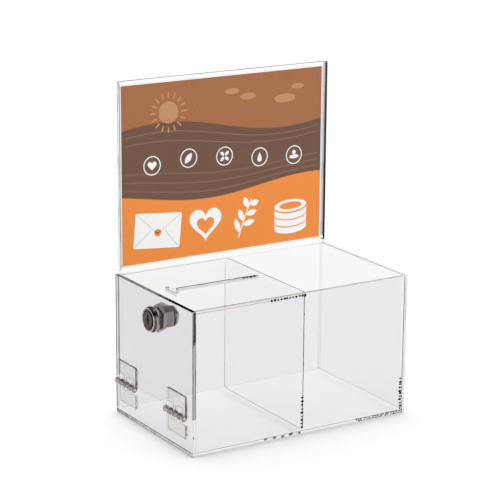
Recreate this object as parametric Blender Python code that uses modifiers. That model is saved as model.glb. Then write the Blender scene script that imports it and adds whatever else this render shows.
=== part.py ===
"""Clear acrylic collection box: a lidded compartment with a ballot slot, an open pocket beside it,
an end door that drops down on two acrylic hinges and is held by a cam lock, and a folded sign holder
that stands on the back panel.

The origin is the centre of the underside. +X runs from the door to the pocket, +Y to the back, +Z up.
The door is shut and the lock is turned open, with its cam pointing to the back.
"""

import math

import bmesh
import bpy
from mathutils import Matrix, Vector

MM = 0.001

# Fits and finish shared by every piece
GAP = 0.3 * MM
OVERRUN = 3.0 * MM
EDGE_BREAK = 0.4 * MM
ROUND_STEPS = 48
ARC_STEPS = 12
MERGE = 0.01 * MM
SHARP_ANGLE = math.radians(35)

# Case
LENGTH = 290.0 * MM
DEPTH = 177.5 * MM
HEIGHT = 168.4 * MM
SHEET = 4.76 * MM
POCKET_CLEAR = 135.2 * MM

# Slots in the top panel
BALLOT_SLOT_WIDTH = 6.35 * MM
BALLOT_SLOT_END_WALL = 4.5 * MM
SLOT_BRIDGE = 3.2 * MM
CAM_SLOT_CLEAR = 1.1 * MM
CAM_SLOT_END_CLEAR = 1.2 * MM

# Door and its hinges
SEAM_HEIGHT = 43.3 * MM
HINGE_WIDTH = 42.5 * MM
HINGE_INSET = 10.5 * MM
HINGE_KNUCKLES = 4
LEAF_THICKNESS = 3.0 * MM
LEAF_REACH = 25.3 * MM
LEAF_ROOT = 8.5 * MM
LEAF_CORNER = 4.0 * MM
KNUCKLE_RADIUS = 4.0 * MM
PIN_RADIUS = 1.5 * MM
PIN_CLEAR = 0.2 * MM
PIN_STEPS = 20

# Cam lock, measured from its axis
LOCK_DROP = 30.9 * MM
FLANGE_RADIUS = 15.2 * MM
FLANGE_FACE_RADIUS = 13.6 * MM
FLANGE_THICKNESS = 6.0 * MM
FLANGE_RIM = 2.6 * MM
FLANGE_DISH = 0.6 * MM
BARREL_RADIUS = 12.5 * MM
BARREL_FLAT = 9.2 * MM
BARREL_REACH = 22.5 * MM
NUT_ACROSS_FLATS = 30.0 * MM
NUT_THICKNESS = 5.0 * MM
PLUG_RADIUS = 7.2 * MM
PLUG_HEAD_RADIUS = 9.6 * MM
PLUG_HEAD_THICKNESS = 2.2 * MM
KEYWAY_HEIGHT = 12.4 * MM
KEYWAY_WIDTH = 2.4 * MM
KEYWAY_BORE_RADIUS = 2.3 * MM
KEYWAY_BACK_WALL = 3.0 * MM

# Tumblers in the plug
TUMBLERS = 4
TUMBLER_PITCH = 3.6 * MM
TUMBLER_START = 4.6 * MM
TUMBLER_THICKNESS = 1.4 * MM
TUMBLER_WIDTH = 5.2 * MM
TUMBLER_HEIGHT = 12.8 * MM
TUMBLER_WINDOW_WIDTH = 2.8 * MM
TUMBLER_WINDOW_HEIGHT = 8.4 * MM
TUMBLER_LUG_WIDTH = 1.8 * MM
TUMBLER_LUG_HEIGHT = 1.5 * MM
TUMBLER_LIFT = 1.2 * MM
SPRING_RADIUS = 0.5 * MM
SPRING_WIRE = 0.26 * MM
SPRING_HEIGHT = 3.2 * MM
SPRING_TURNS = 4
SPRING_STEPS = 8

# Tail of the plug and what it carries
TAIL_SIDE = 7.6 * MM
STUD_RADIUS = 3.0 * MM
STOP_WASHER_RADIUS = 11.0 * MM
STOP_WASHER_THICKNESS = 1.0 * MM
STOP_NOTCH_RADIUS = 8.2 * MM
STOP_LUG_WIDTH = 3.0 * MM
LOCK_TURN = math.radians(90)
CAM_THICKNESS = 2.4 * MM
CAM_HUB_RADIUS = 12.0 * MM
CAM_HALF_WIDTH = 9.5 * MM
CAM_CORNER = 3.0 * MM
CAM_BITE = 1.8 * MM
CAM_WASHER_RADIUS = 6.2 * MM
CAM_WASHER_THICKNESS = 0.8 * MM
CAM_NUT_ACROSS_FLATS = 10.0 * MM
CAM_NUT_THICKNESS = 3.4 * MM
STUD_STANDS_OUT = 0.8 * MM

# Sign holder and its card
HOLDER_SHEET = 2.4 * MM
HOLDER_BEND = 0.5 * MM
HOLDER_STANDS_IN = 4.5 * MM
HOLDER_BACK_GAP = 2.4 * MM
HOLDER_HEAD_ROOM = 1.8 * MM
MOUNT_STRIP_HEIGHT = 2.4 * MM
CARD_LENGTH = 279.4 * MM
CARD_HEIGHT = 215.9 * MM
CARD_THICKNESS = 0.5 * MM
CARD_INSET = 0.5 * MM

# Faces that several pieces share
LEFT = -LENGTH / 2
RIGHT = LENGTH / 2
FRONT = -DEPTH / 2
BACK = DEPTH / 2
WALL_LEFT = LEFT + SHEET + GAP
WALL_RIGHT = RIGHT - SHEET - GAP
INNER_FRONT = FRONT + SHEET + GAP
INNER_BACK = BACK - SHEET - GAP
FLOOR = SHEET + GAP
LID_UNDERSIDE = HEIGHT - SHEET
DIVIDER_RIGHT = RIGHT - SHEET - POCKET_CLEAR

# Joint axes
HINGE_AXIS = Vector((LEFT - GAP - KNUCKLE_RADIUS, 0, SEAM_HEIGHT))
LOCK_AXIS = Vector((LEFT, 0, HEIGHT - LOCK_DROP))

# The lock's stack along X, each piece a gap behind the last
FLANGE_BACK = LEFT - GAP
FLANGE_FACE = FLANGE_BACK - FLANGE_THICKNESS
BARREL_END = LEFT + BARREL_REACH
STOP_WASHER_START = BARREL_END + GAP
CAM_START = STOP_WASHER_START + STOP_WASHER_THICKNESS + GAP
CAM_END = CAM_START + CAM_THICKNESS
CAM_WASHER_START = CAM_END + GAP
CAM_NUT_START = CAM_WASHER_START + CAM_WASHER_THICKNESS + GAP
STUD_END = CAM_NUT_START + CAM_NUT_THICKNESS + STUD_STANDS_OUT
CAM_LENGTH = LOCK_DROP - SHEET + CAM_BITE

# Sign holder, from the top of the back panel upwards
HOLDER_FRONT = BACK - HOLDER_STANDS_IN
HOLDER_CHANNEL = CARD_THICKNESS + 2 * GAP
HOLDER_BACK = HOLDER_FRONT + 2 * HOLDER_SHEET + HOLDER_CHANNEL
HOLDER_BOTTOM = HEIGHT + GAP + MOUNT_STRIP_HEIGHT + GAP
HOLDER_FLOOR = HOLDER_BOTTOM + HOLDER_SHEET
CARD_BOTTOM = HOLDER_FLOOR + GAP
FOLD_RADIUS = HOLDER_SHEET + HOLDER_CHANNEL / 2
HOLDER_TOP = CARD_BOTTOM + CARD_HEIGHT + HOLDER_HEAD_ROOM + FOLD_RADIUS

# Turns that lay an outline drawn in local X and Y across the X axis (X, Y to Y, Z) or along Y (to X, Z)
ACROSS_X = (math.pi / 2, 0, math.pi / 2)
ALONG_Y = (math.pi / 2, 0, 0)
FLAT = (0, 0, 0)


def clear_scene():
    """Remove every object, and make the two collections of this model."""
    for old in list(bpy.data.objects):
        bpy.data.objects.remove(old, do_unlink=True)
    for name in ("collection_box", "cutters"):
        if name not in bpy.data.collections:
            bpy.context.scene.collection.children.link(bpy.data.collections.new(name))


def make_material(name, color, roughness, metallic=0.0, transmission=0.0):
    """A Principled material with the finish of one kind of piece."""
    material = bpy.data.materials.get(name) or bpy.data.materials.new(name)
    material.use_nodes = True
    shader = material.node_tree.nodes["Principled BSDF"]
    shader.inputs["Base Color"].default_value = (*color, 1.0)
    shader.inputs["Roughness"].default_value = roughness
    shader.inputs["Metallic"].default_value = metallic
    shader.inputs["Transmission Weight"].default_value = transmission
    return material


def finishes():
    """The materials of the box by name."""
    return {
        "acrylic": make_material("clear_acrylic", (0.90, 0.91, 0.92), 0.03, transmission=0.9),
        "hinge_plastic": make_material("hinge_acrylic", (0.80, 0.79, 0.79), 0.08, transmission=0.8),
        "pin": make_material("pin_steel", (0.55, 0.54, 0.53), 0.30, metallic=1.0),
        "chrome": make_material("lock_chrome", (0.36, 0.34, 0.33), 0.18, metallic=1.0),
        "cam": make_material("cam_steel", (0.50, 0.49, 0.48), 0.32, metallic=1.0),
        "brass": make_material("tumbler_brass", (0.72, 0.54, 0.25), 0.30, metallic=1.0),
        "card": make_material("sign_card", (0.72, 0.34, 0.12), 0.45),
    }


def add_object(name, mesh, material, location=(0, 0, 0), rotation=FLAT):
    """Link a mesh as a named piece, or as a cutter where it has no material."""
    obj = bpy.data.objects.new(name, mesh)
    obj.location = location
    obj.rotation_euler = rotation
    home = "collection_box" if material else "cutters"
    bpy.data.collections[home].objects.link(obj)
    if material:
        mesh.materials.clear()
        mesh.materials.append(material)
    else:
        obj.hide_render = True
        obj.display_type = "WIRE"
    return obj


def box(name, low, high, material=None, edge=0.0):
    """A box between two corners, with its origin at its centre."""
    low, high = Vector(low), Vector(high)
    bm = bmesh.new()
    bmesh.ops.create_cube(bm, size=1)
    bmesh.ops.scale(bm, vec=high - low, verts=bm.verts)
    mesh = bpy.data.meshes.new(name)
    bm.to_mesh(mesh)
    bm.free()
    obj = add_object(name, mesh, material, (low + high) / 2)
    if edge:
        break_edges(obj, edge)
    return obj


def break_edges(obj, width):
    """A narrow flat on every sharp edge, like the polished edge of a cut sheet."""
    bevel = obj.modifiers.new("polished_edges", "BEVEL")
    bevel.width = width
    bevel.segments = 1
    bevel.limit_method = "ANGLE"


def cylinder(name, radius, start, end, material=None, steps=ROUND_STEPS, rotation=ACROSS_X, centre=None):
    """A cylinder between two places along the axis that the rotation gives, centred on the lock's axis."""
    bm = bmesh.new()
    bmesh.ops.create_cone(
        bm, cap_ends=True, segments=steps, radius1=radius, radius2=radius, depth=end - start
    )
    mesh = bpy.data.meshes.new(name)
    bm.to_mesh(mesh)
    bm.free()
    middle = (start + end) / 2
    place = Vector(centre) if centre else Vector((middle, LOCK_AXIS.y, LOCK_AXIS.z))
    obj = add_object(name, mesh, material, place, rotation)
    shade_round(obj)
    return obj


def shade_round(obj):
    """Smooth shading on round faces, with sharp edges kept."""
    obj.data.shade_smooth()
    obj.data.set_sharp_from_angle(angle=SHARP_ANGLE)


def turned(name, profile, material=None):
    """A turned piece on the lock's axis. The profile lists (radius, place along X), inner end first."""
    bm = bmesh.new()
    points = [bm.verts.new((radius, 0, along)) for radius, along in profile]
    for first, second in zip(points, points[1:]):
        bm.edges.new((first, second))
    mesh = bpy.data.meshes.new(name)
    bm.to_mesh(mesh)
    bm.free()
    obj = add_object(name, mesh, material, (0, LOCK_AXIS.y, LOCK_AXIS.z), ACROSS_X)
    screw = obj.modifiers.new("turn", "SCREW")
    screw.steps = ROUND_STEPS
    screw.render_steps = ROUND_STEPS
    screw.use_merge_vertices = True
    screw.merge_threshold = MERGE
    return obj


def arc(centre, radius, start, end, steps=ARC_STEPS):
    """Points of an arc from one angle to another, both ends included."""
    turns = [start + (end - start) * step / steps for step in range(steps + 1)]
    return [(centre[0] + radius * math.cos(t), centre[1] + radius * math.sin(t)) for t in turns]


def extruded(name, outline, start, end, rotation, material=None, holes=()):
    """A flat outline given depth along the axis that the rotation turns local Z to."""
    curve = bpy.data.curves.new(name + "_outline", "CURVE")
    curve.dimensions = "2D"
    curve.fill_mode = "BOTH"
    curve.extrude = (end - start) / 2
    for loop in (outline, *holes):
        spline = curve.splines.new("POLY")
        spline.points.add(len(loop) - 1)
        for point, (x, y) in zip(spline.points, loop):
            point.co = (x, y, 0, 1)
        spline.use_cyclic_u = True
    drawn = bpy.data.objects.new(name + "_outline", curve)
    bpy.context.scene.collection.objects.link(drawn)
    bpy.context.view_layer.update()
    graph = bpy.context.evaluated_depsgraph_get()
    mesh = bpy.data.meshes.new_from_object(drawn.evaluated_get(graph))
    mesh.name = name
    bpy.data.objects.remove(drawn, do_unlink=True)
    bm = bmesh.new()
    bm.from_mesh(mesh)
    bmesh.ops.remove_doubles(bm, verts=bm.verts, dist=MERGE)
    bmesh.ops.recalc_face_normals(bm, faces=bm.faces)
    bm.to_mesh(mesh)
    bm.free()
    turn = Matrix.Identity(3) if rotation == FLAT else turn_of(rotation)
    middle = turn @ Vector((0, 0, (start + end) / 2))
    obj = add_object(name, mesh, material, middle, rotation)
    shade_round(obj)
    return obj


def turn_of(rotation):
    """The matrix of an XYZ rotation."""
    across = Matrix.Rotation(rotation[0], 3, "X")
    return Matrix.Rotation(rotation[2], 3, "Z") @ Matrix.Rotation(rotation[1], 3, "Y") @ across


def boolean(obj, other, operation):
    """Add an exact Boolean modifier."""
    modifier = obj.modifiers.new(operation.lower() + "_" + other.name, "BOOLEAN")
    modifier.operation = operation
    modifier.object = other
    modifier.solver = "EXACT"


def cut(obj, *cutters):
    """Cut an object by each cutter in turn."""
    for cutter in cutters:
        boolean(obj, cutter, "DIFFERENCE")


def keep_inside(obj, guide):
    """Keep only what lies inside a guide solid."""
    boolean(obj, guide, "INTERSECT")


def pivot(name, place, parent=None):
    """An empty on a joint's axis."""
    empty = bpy.data.objects.new(name, None)
    bpy.data.collections["collection_box"].objects.link(empty)
    empty.location = place
    if parent:
        carry(parent, empty)
    return empty


def carry(parent, *pieces):
    """Parent pieces to an empty and leave them where they stand."""
    bpy.context.view_layer.update()
    for piece in pieces:
        piece.parent = parent
        piece.matrix_parent_inverse = parent.matrix_world.inverted()


def slot_outline(x_low, x_high, y_low, y_high):
    """A slot with round ends, along whichever of X and Y is longer."""
    width, depth = x_high - x_low, y_high - y_low
    radius = min(width, depth) / 2
    half = math.pi / 2
    if width > depth:
        middle = (y_low + y_high) / 2
        right_end = arc((x_high - radius, middle), radius, -half, half)
        return right_end + arc((x_low + radius, middle), radius, half, 3 * half)
    middle = (x_low + x_high) / 2
    far_end = arc((middle, y_high - radius), radius, 0, math.pi)
    return far_end + arc((middle, y_low + radius), radius, math.pi, 2 * math.pi)


def double_d_outline(radius, flat):
    """A circle about the lock's axis with a flat on each side, in Y and Z."""
    lean = math.acos(flat / radius)
    upper = arc((LOCK_AXIS.y, LOCK_AXIS.z), radius, lean, math.pi - lean)
    lower = arc((LOCK_AXIS.y, LOCK_AXIS.z), radius, math.pi + lean, 2 * math.pi - lean)
    return upper + lower


def cam_tip_spread():
    """Half the width that the cam's corners need where they enter the top panel."""
    corner_y = CAM_LENGTH - CAM_CORNER
    corner_z = CAM_HALF_WIDTH - CAM_CORNER
    sweep = math.hypot(corner_y, corner_z) + CAM_CORNER
    entry = LOCK_DROP - SHEET
    return math.sqrt(max(sweep**2 - entry**2, CAM_HALF_WIDTH**2))


def build_case(looks):
    """The cemented panels of the case."""
    acrylic = looks["acrylic"]
    box("bottom_panel", (LEFT, FRONT, 0), (RIGHT, BACK, SHEET), acrylic, EDGE_BREAK)
    front_high = (WALL_RIGHT, FRONT + SHEET, HEIGHT)
    box("front_panel", (WALL_LEFT, FRONT, FLOOR), front_high, acrylic, EDGE_BREAK)
    box("back_panel", (WALL_LEFT, BACK - SHEET, FLOOR), (WALL_RIGHT, BACK, HEIGHT), acrylic, EDGE_BREAK)
    box("right_end_panel", (RIGHT - SHEET, FRONT, FLOOR), (RIGHT, BACK, HEIGHT), acrylic, EDGE_BREAK)
    strip_high = (LEFT + SHEET, BACK, SEAM_HEIGHT - GAP)
    box("lower_end_strip", (LEFT, FRONT, FLOOR), strip_high, acrylic, EDGE_BREAK)
    divider_low = (DIVIDER_RIGHT - SHEET, INNER_FRONT, FLOOR)
    divider_high = (DIVIDER_RIGHT, INNER_BACK, LID_UNDERSIDE - GAP)
    box("divider_panel", divider_low, divider_high, acrylic, EDGE_BREAK)
    build_top_panel(acrylic)


def build_top_panel(acrylic):
    """The lid over the left compartment, with the ballot slot and the slot that the cam turns into."""
    low = (WALL_LEFT, INNER_FRONT, LID_UNDERSIDE)
    panel = box("top_panel", low, (DIVIDER_RIGHT, INNER_BACK, HEIGHT), acrylic)
    cam_left, cam_right = CAM_START - CAM_SLOT_CLEAR, CAM_END + CAM_SLOT_CLEAR
    spread = cam_tip_spread() + CAM_SLOT_END_CLEAR
    cam_slot = slot_outline(cam_left, cam_right, LOCK_AXIS.y - spread, LOCK_AXIS.y + spread)
    ballot_left, ballot_right = cam_right + SLOT_BRIDGE, DIVIDER_RIGHT - SHEET - BALLOT_SLOT_END_WALL
    half_width = BALLOT_SLOT_WIDTH / 2
    ballot_slot = slot_outline(ballot_left, ballot_right, -half_width, half_width)
    depths = (LID_UNDERSIDE - OVERRUN, HEIGHT + OVERRUN)
    for name, outline in (("cam_slot", cam_slot), ("ballot_slot", ballot_slot)):
        cut(panel, extruded(name + "_cutter", outline, *depths, FLAT))
    break_edges(panel, EDGE_BREAK)


def holder_outline():
    """The folded sheet seen from its end, in Y and Z: base, front leg, top fold, back leg."""
    fold = (HOLDER_FRONT + FOLD_RADIUS, HOLDER_TOP - FOLD_RADIUS)
    bend_outer = HOLDER_BEND + HOLDER_SHEET
    bend = (HOLDER_FRONT + bend_outer, HOLDER_BOTTOM + bend_outer)
    back_leg_bottom = HOLDER_FLOOR + HOLDER_BACK_GAP
    half = math.pi / 2
    return [
        (HOLDER_BACK, HOLDER_BOTTOM),
        *arc(bend, bend_outer, 3 * half, math.pi),
        *arc(fold, FOLD_RADIUS, math.pi, 0),
        (HOLDER_BACK, back_leg_bottom),
        (HOLDER_BACK - HOLDER_SHEET, back_leg_bottom),
        *arc(fold, HOLDER_CHANNEL / 2, 0, math.pi),
        *arc(bend, HOLDER_BEND, math.pi, 3 * half),
        (HOLDER_BACK, HOLDER_FLOOR),
    ]


def build_sign_holder(looks):
    """The folded holder, the strip that cements it to the back panel, and the card that slides in it."""
    strip_high = (RIGHT, BACK, HEIGHT + GAP + MOUNT_STRIP_HEIGHT)
    strip_low = (WALL_LEFT, BACK - SHEET, HEIGHT + GAP)
    box("sign_mount_strip", strip_low, strip_high, looks["acrylic"])
    extruded("sign_holder", holder_outline(), WALL_LEFT, RIGHT, ACROSS_X, looks["acrylic"])
    card_left = WALL_LEFT + CARD_INSET
    card_front = HOLDER_FRONT + HOLDER_SHEET + GAP
    low = (card_left, card_front, CARD_BOTTOM)
    high = (card_left + CARD_LENGTH, card_front + CARD_THICKNESS, CARD_BOTTOM + CARD_HEIGHT)
    box("sign_card", low, high, looks["card"])


def leaf_profile(up):
    """A hinge leaf seen along its pin, in X and Z: plate, tab and knuckle. up is 1 or -1."""
    plate_back = HINGE_AXIS.x + KNUCKLE_RADIUS
    plate_front = plate_back - LEAF_THICKNESS
    meets = math.acos((plate_front - HINGE_AXIS.x) / KNUCKLE_RADIUS)
    centre = (HINGE_AXIS.x, 0)
    knuckle = arc(centre, KNUCKLE_RADIUS, 2 * math.pi, meets, 2 * ARC_STEPS)
    outline = [(plate_front, LEAF_REACH), (plate_back, LEAF_REACH), *knuckle]
    return [(x, HINGE_AXIS.z + up * z) for x, z in outline]


def leaf_guide(name, low, high, up):
    """The space of a leaf seen from outside, in Y and Z, with its two free corners rounded."""
    side = math.pi / 2
    reach = LEAF_REACH - LEAF_CORNER
    corners = [
        (low, -KNUCKLE_RADIUS - OVERRUN),
        (high, -KNUCKLE_RADIUS - OVERRUN),
        *arc((high - LEAF_CORNER, reach), LEAF_CORNER, 0, side),
        *arc((low + LEAF_CORNER, reach), LEAF_CORNER, side, 2 * side),
    ]
    outline = [(y, HINGE_AXIS.z + up * z) for y, z in corners]
    x_low, x_high = HINGE_AXIS.x - KNUCKLE_RADIUS - OVERRUN, LEFT + OVERRUN
    return extruded(name + "_guide", outline, x_low, x_high, ACROSS_X)


def build_leaf(name, low, high, up, first_free, material):
    """One hinge leaf between two places along Y. Every other knuckle, from first_free on, is cut away."""
    profile = leaf_profile(up)
    leaf = extruded(name, profile, -high - OVERRUN, -low + OVERRUN, ALONG_Y, material)
    keep_inside(leaf, leaf_guide(name, low, high, up))
    pitch = (high - low) / HINGE_KNUCKLES
    for knuckle in range(HINGE_KNUCKLES):
        if (knuckle - first_free) % 2:
            continue
        y_high = high - knuckle * pitch + (GAP / 2 if knuckle else OVERRUN)
        y_low = high - (knuckle + 1) * pitch - (GAP / 2 if knuckle < HINGE_KNUCKLES - 1 else OVERRUN)
        ends = sorted((HINGE_AXIS.z - up * (KNUCKLE_RADIUS + OVERRUN), HINGE_AXIS.z + up * LEAF_ROOT))
        x_reach = KNUCKLE_RADIUS + OVERRUN
        corner_low = (HINGE_AXIS.x - x_reach, y_low, ends[0])
        corner_high = (HINGE_AXIS.x + x_reach, y_high, ends[1])
        cut(leaf, box(f"{name}_gap_{knuckle}", corner_low, corner_high))
    bore_low, bore_high = low - OVERRUN, high + OVERRUN
    cut(leaf, pin_shape(name + "_bore", PIN_RADIUS + PIN_CLEAR, bore_low, bore_high))
    return leaf


def pin_shape(name, radius, low, high, material=None):
    """A cylinder on the hinge's axis between two places along Y."""
    centre = (HINGE_AXIS.x, (low + high) / 2, HINGE_AXIS.z)
    return cylinder(name, radius, low, high, material, PIN_STEPS, ALONG_Y, centre)


def build_hinges(looks, door_pivot):
    """Two hinges: a leaf on the door, a leaf on the fixed strip and a pin each."""
    spans = {
        "front": (FRONT + HINGE_INSET, FRONT + HINGE_INSET + HINGE_WIDTH),
        "back": (BACK - HINGE_INSET - HINGE_WIDTH, BACK - HINGE_INSET),
    }
    plastic = looks["hinge_plastic"]
    for place, (low, high) in spans.items():
        carry(door_pivot, build_leaf(f"door_hinge_leaf_{place}", low, high, 1, 0, plastic))
        build_leaf(f"fixed_hinge_leaf_{place}", low, high, -1, 1, plastic)
        pin_shape(f"hinge_pin_{place}", PIN_RADIUS, low, high, looks["pin"])


def build_door(looks, door_pivot):
    """The end door, with its hole for the lock."""
    low = (LEFT, FRONT, SEAM_HEIGHT + GAP)
    door = box("door_panel", low, (LEFT + SHEET, BACK, HEIGHT), looks["acrylic"])
    hole = double_d_outline(BARREL_RADIUS + GAP, BARREL_FLAT + GAP)
    cut(door, extruded("lock_hole_cutter", hole, LEFT - OVERRUN, LEFT + SHEET + OVERRUN, ACROSS_X))
    break_edges(door, EDGE_BREAK)
    carry(door_pivot, door)


def build_lock_housing(looks, door_pivot):
    """Flange and barrel in one piece, with the plug's bore and the cam's stop lug.

    Two grooves take the lifted tumblers, one where the lock is open and one where it is locked, so the
    key comes out in both places.
    """
    rim_front = FLANGE_BACK - FLANGE_RIM
    profile = [
        (0, BARREL_END),
        (BARREL_RADIUS, BARREL_END),
        (BARREL_RADIUS, FLANGE_BACK),
        (FLANGE_RADIUS, FLANGE_BACK),
        (FLANGE_RADIUS, rim_front),
        (FLANGE_FACE_RADIUS, FLANGE_FACE),
        (PLUG_HEAD_RADIUS + 2 * GAP, FLANGE_FACE + FLANGE_DISH),
        (0, FLANGE_FACE + FLANGE_DISH),
    ]
    housing = turned("lock_housing", profile, looks["chrome"])
    reach = BARREL_RADIUS + OVERRUN
    for side, name in ((-1, "front"), (1, "back")):
        y_ends = sorted((side * BARREL_FLAT, side * reach))
        low = (FLANGE_BACK, LOCK_AXIS.y + y_ends[0], LOCK_AXIS.z - reach)
        high = (BARREL_END + OVERRUN, LOCK_AXIS.y + y_ends[1], LOCK_AXIS.z + reach)
        cut(housing, box("barrel_flat_" + name, low, high))
    bore_start = FLANGE_FACE + PLUG_HEAD_THICKNESS
    groove_start = FLANGE_FACE + TUMBLER_START
    groove_height = TUMBLER_HEIGHT / 2 + TUMBLER_LIFT + GAP
    groove_width = TUMBLER_WIDTH + 2 * GAP
    open_groove = rectangle(groove_width, groove_height, 0, groove_height / 2)
    locked_groove = rectangle(groove_height, groove_width, -groove_height / 2, 0)
    cut(
        housing,
        cylinder("plug_bore", PLUG_RADIUS + GAP, bore_start, BARREL_END + OVERRUN),
        cylinder("plug_head_bore", PLUG_HEAD_RADIUS + GAP, FLANGE_FACE - OVERRUN, bore_start + GAP),
        extruded("open_groove", open_groove, groove_start, BARREL_END + OVERRUN, ACROSS_X),
        extruded("locked_groove", locked_groove, groove_start, BARREL_END + OVERRUN, ACROSS_X),
    )
    lug_low = (BARREL_END - STOP_WASHER_THICKNESS, -STOP_LUG_WIDTH / 2, -STOP_WASHER_RADIUS)
    lug_high = (STOP_WASHER_START + STOP_WASHER_THICKNESS / 2, STOP_LUG_WIDTH / 2, -STOP_NOTCH_RADIUS - GAP)
    lift = Vector((0, LOCK_AXIS.y, LOCK_AXIS.z))
    lug = box("stop_lug", Vector(lug_low) + lift, Vector(lug_high) + lift)
    boolean(housing, lug, "UNION")
    carry(door_pivot, housing)


def hexagon(across_flats):
    """A hexagon about the lock's axis with corners up and down, in Y and Z."""
    radius = across_flats / math.sqrt(3)
    corners = arc((LOCK_AXIS.y, LOCK_AXIS.z), radius, math.pi / 2, math.pi / 2 + 2 * math.pi, 6)
    return corners[:-1]


def circle(radius, steps=ROUND_STEPS):
    """A circle about the lock's axis, in Y and Z."""
    return arc((LOCK_AXIS.y, LOCK_AXIS.z), radius, 0, 2 * math.pi, steps)[:-1]


def rectangle(width, height, y=0.0, z=0.0):
    """A rectangle about a point beside the lock's axis, in Y and Z."""
    front, back = y + LOCK_AXIS.y - width / 2, y + LOCK_AXIS.y + width / 2
    low, high = z + LOCK_AXIS.z - height / 2, z + LOCK_AXIS.z + height / 2
    return [(front, low), (back, low), (back, high), (front, high)]


def build_lock_nut(looks, door_pivot):
    """The large nut that clamps the housing to the door, with a bore that clears the barrel."""
    start = LEFT + SHEET + GAP
    hole = [circle(BARREL_RADIUS + GAP)]
    outline = hexagon(NUT_ACROSS_FLATS)
    nut = extruded("lock_nut", outline, start, start + NUT_THICKNESS, ACROSS_X, looks["chrome"], hole)
    carry(door_pivot, nut)


def tumbler_place(index):
    """The middle of a tumbler's slot along X."""
    return FLANGE_FACE + TUMBLER_START + (index + 0.5) * TUMBLER_PITCH


def lug_centre():
    """The middle of a tumbler's side lug, as Y from the lock's axis."""
    return (TUMBLER_WIDTH + TUMBLER_LUG_WIDTH) / 2


def spring_room():
    """The lowest and highest place of a tumbler's spring, as Z from the lock's axis."""
    top = -TUMBLER_LUG_HEIGHT / 2 - GAP
    return top - SPRING_HEIGHT, top


def build_plug(looks, lock_pivot):
    """The turning plug: head, keyway, tumbler slots with a spring pocket each, square tail and stud."""
    tail_start = BARREL_END
    profile = [
        (0, STUD_END),
        (STUD_RADIUS, STUD_END),
        (STUD_RADIUS, CAM_END),
        (PLUG_RADIUS, CAM_END),
        (PLUG_RADIUS, FLANGE_FACE + PLUG_HEAD_THICKNESS),
        (PLUG_HEAD_RADIUS, FLANGE_FACE + PLUG_HEAD_THICKNESS),
        (PLUG_HEAD_RADIUS, FLANGE_FACE),
        (0, FLANGE_FACE),
    ]
    plug = turned("lock_plug", profile, looks["chrome"])
    reach = PLUG_RADIUS + OVERRUN
    half_tail = TAIL_SIDE / 2
    for name, turn in (("up", (0, 1)), ("down", (0, -1)), ("back", (1, 0)), ("front", (-1, 0))):
        middle = (half_tail + reach) / 2
        across = reach - half_tail
        size = (2 * reach, across) if turn[1] else (across, 2 * reach)
        side = rectangle(*size, turn[0] * middle, turn[1] * middle)
        cut(plug, extruded("tail_flat_" + name, side, tail_start, CAM_END + GAP / 2, ACROSS_X))
    keyway_end = tail_start - KEYWAY_BACK_WALL
    keyway = rectangle(KEYWAY_WIDTH, KEYWAY_HEIGHT)
    keyway_start = FLANGE_FACE - OVERRUN
    cut(plug, extruded("keyway_cutter", keyway, keyway_start, keyway_end, ACROSS_X))
    cut(plug, cylinder("keyway_bore", KEYWAY_BORE_RADIUS, keyway_start, keyway_end + GAP, steps=PIN_STEPS))
    for index in range(TUMBLERS):
        cut(plug, *tumbler_slot(index))
    carry(lock_pivot, plug)


def tumbler_slot(index):
    """The cutters of one tumbler's slot: a through slot and the pocket for its lug and spring."""
    half = TUMBLER_THICKNESS / 2 + GAP
    start, end = tumbler_place(index) - half, tumbler_place(index) + half
    height = 2 * (PLUG_RADIUS + OVERRUN)
    through = rectangle(TUMBLER_WIDTH + 2 * GAP, height)
    spring_low = spring_room()[0] - GAP
    pocket_high = TUMBLER_LUG_HEIGHT / 2 + TUMBLER_LIFT + GAP
    pocket_width = TUMBLER_LUG_WIDTH + 2 * GAP
    pocket = rectangle(pocket_width, pocket_high - spring_low, lug_centre(), (pocket_high + spring_low) / 2)
    return (
        extruded(f"tumbler_slot_{index}", through, start, end, ACROSS_X),
        extruded(f"tumbler_pocket_{index}", pocket, start, end, ACROSS_X),
    )


def tumbler_outline():
    """A tumbler with its side lug, in Y and Z."""
    half_w, half_h = TUMBLER_WIDTH / 2, TUMBLER_HEIGHT / 2
    lug_out, lug_half = half_w + TUMBLER_LUG_WIDTH, TUMBLER_LUG_HEIGHT / 2
    points = [
        (-half_w, -half_h),
        (half_w, -half_h),
        (half_w, -lug_half),
        (lug_out, -lug_half),
        (lug_out, lug_half),
        (half_w, lug_half),
        (half_w, half_h),
        (-half_w, half_h),
    ]
    return [(y + LOCK_AXIS.y, z + LOCK_AXIS.z) for y, z in points]


def build_tumblers(looks, lock_pivot):
    """The plate tumblers, held at the height a key gives them, and the spring under each lug."""
    window = [rectangle(TUMBLER_WINDOW_WIDTH, TUMBLER_WINDOW_HEIGHT)]
    for index in range(TUMBLERS):
        middle = tumbler_place(index)
        start, end = middle - TUMBLER_THICKNESS / 2, middle + TUMBLER_THICKNESS / 2
        name = f"tumbler_{index + 1}"
        plate = extruded(name, tumbler_outline(), start, end, ACROSS_X, looks["brass"], window)
        carry(lock_pivot, plate, build_spring(f"tumbler_spring_{index + 1}", middle, looks["cam"]))


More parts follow.
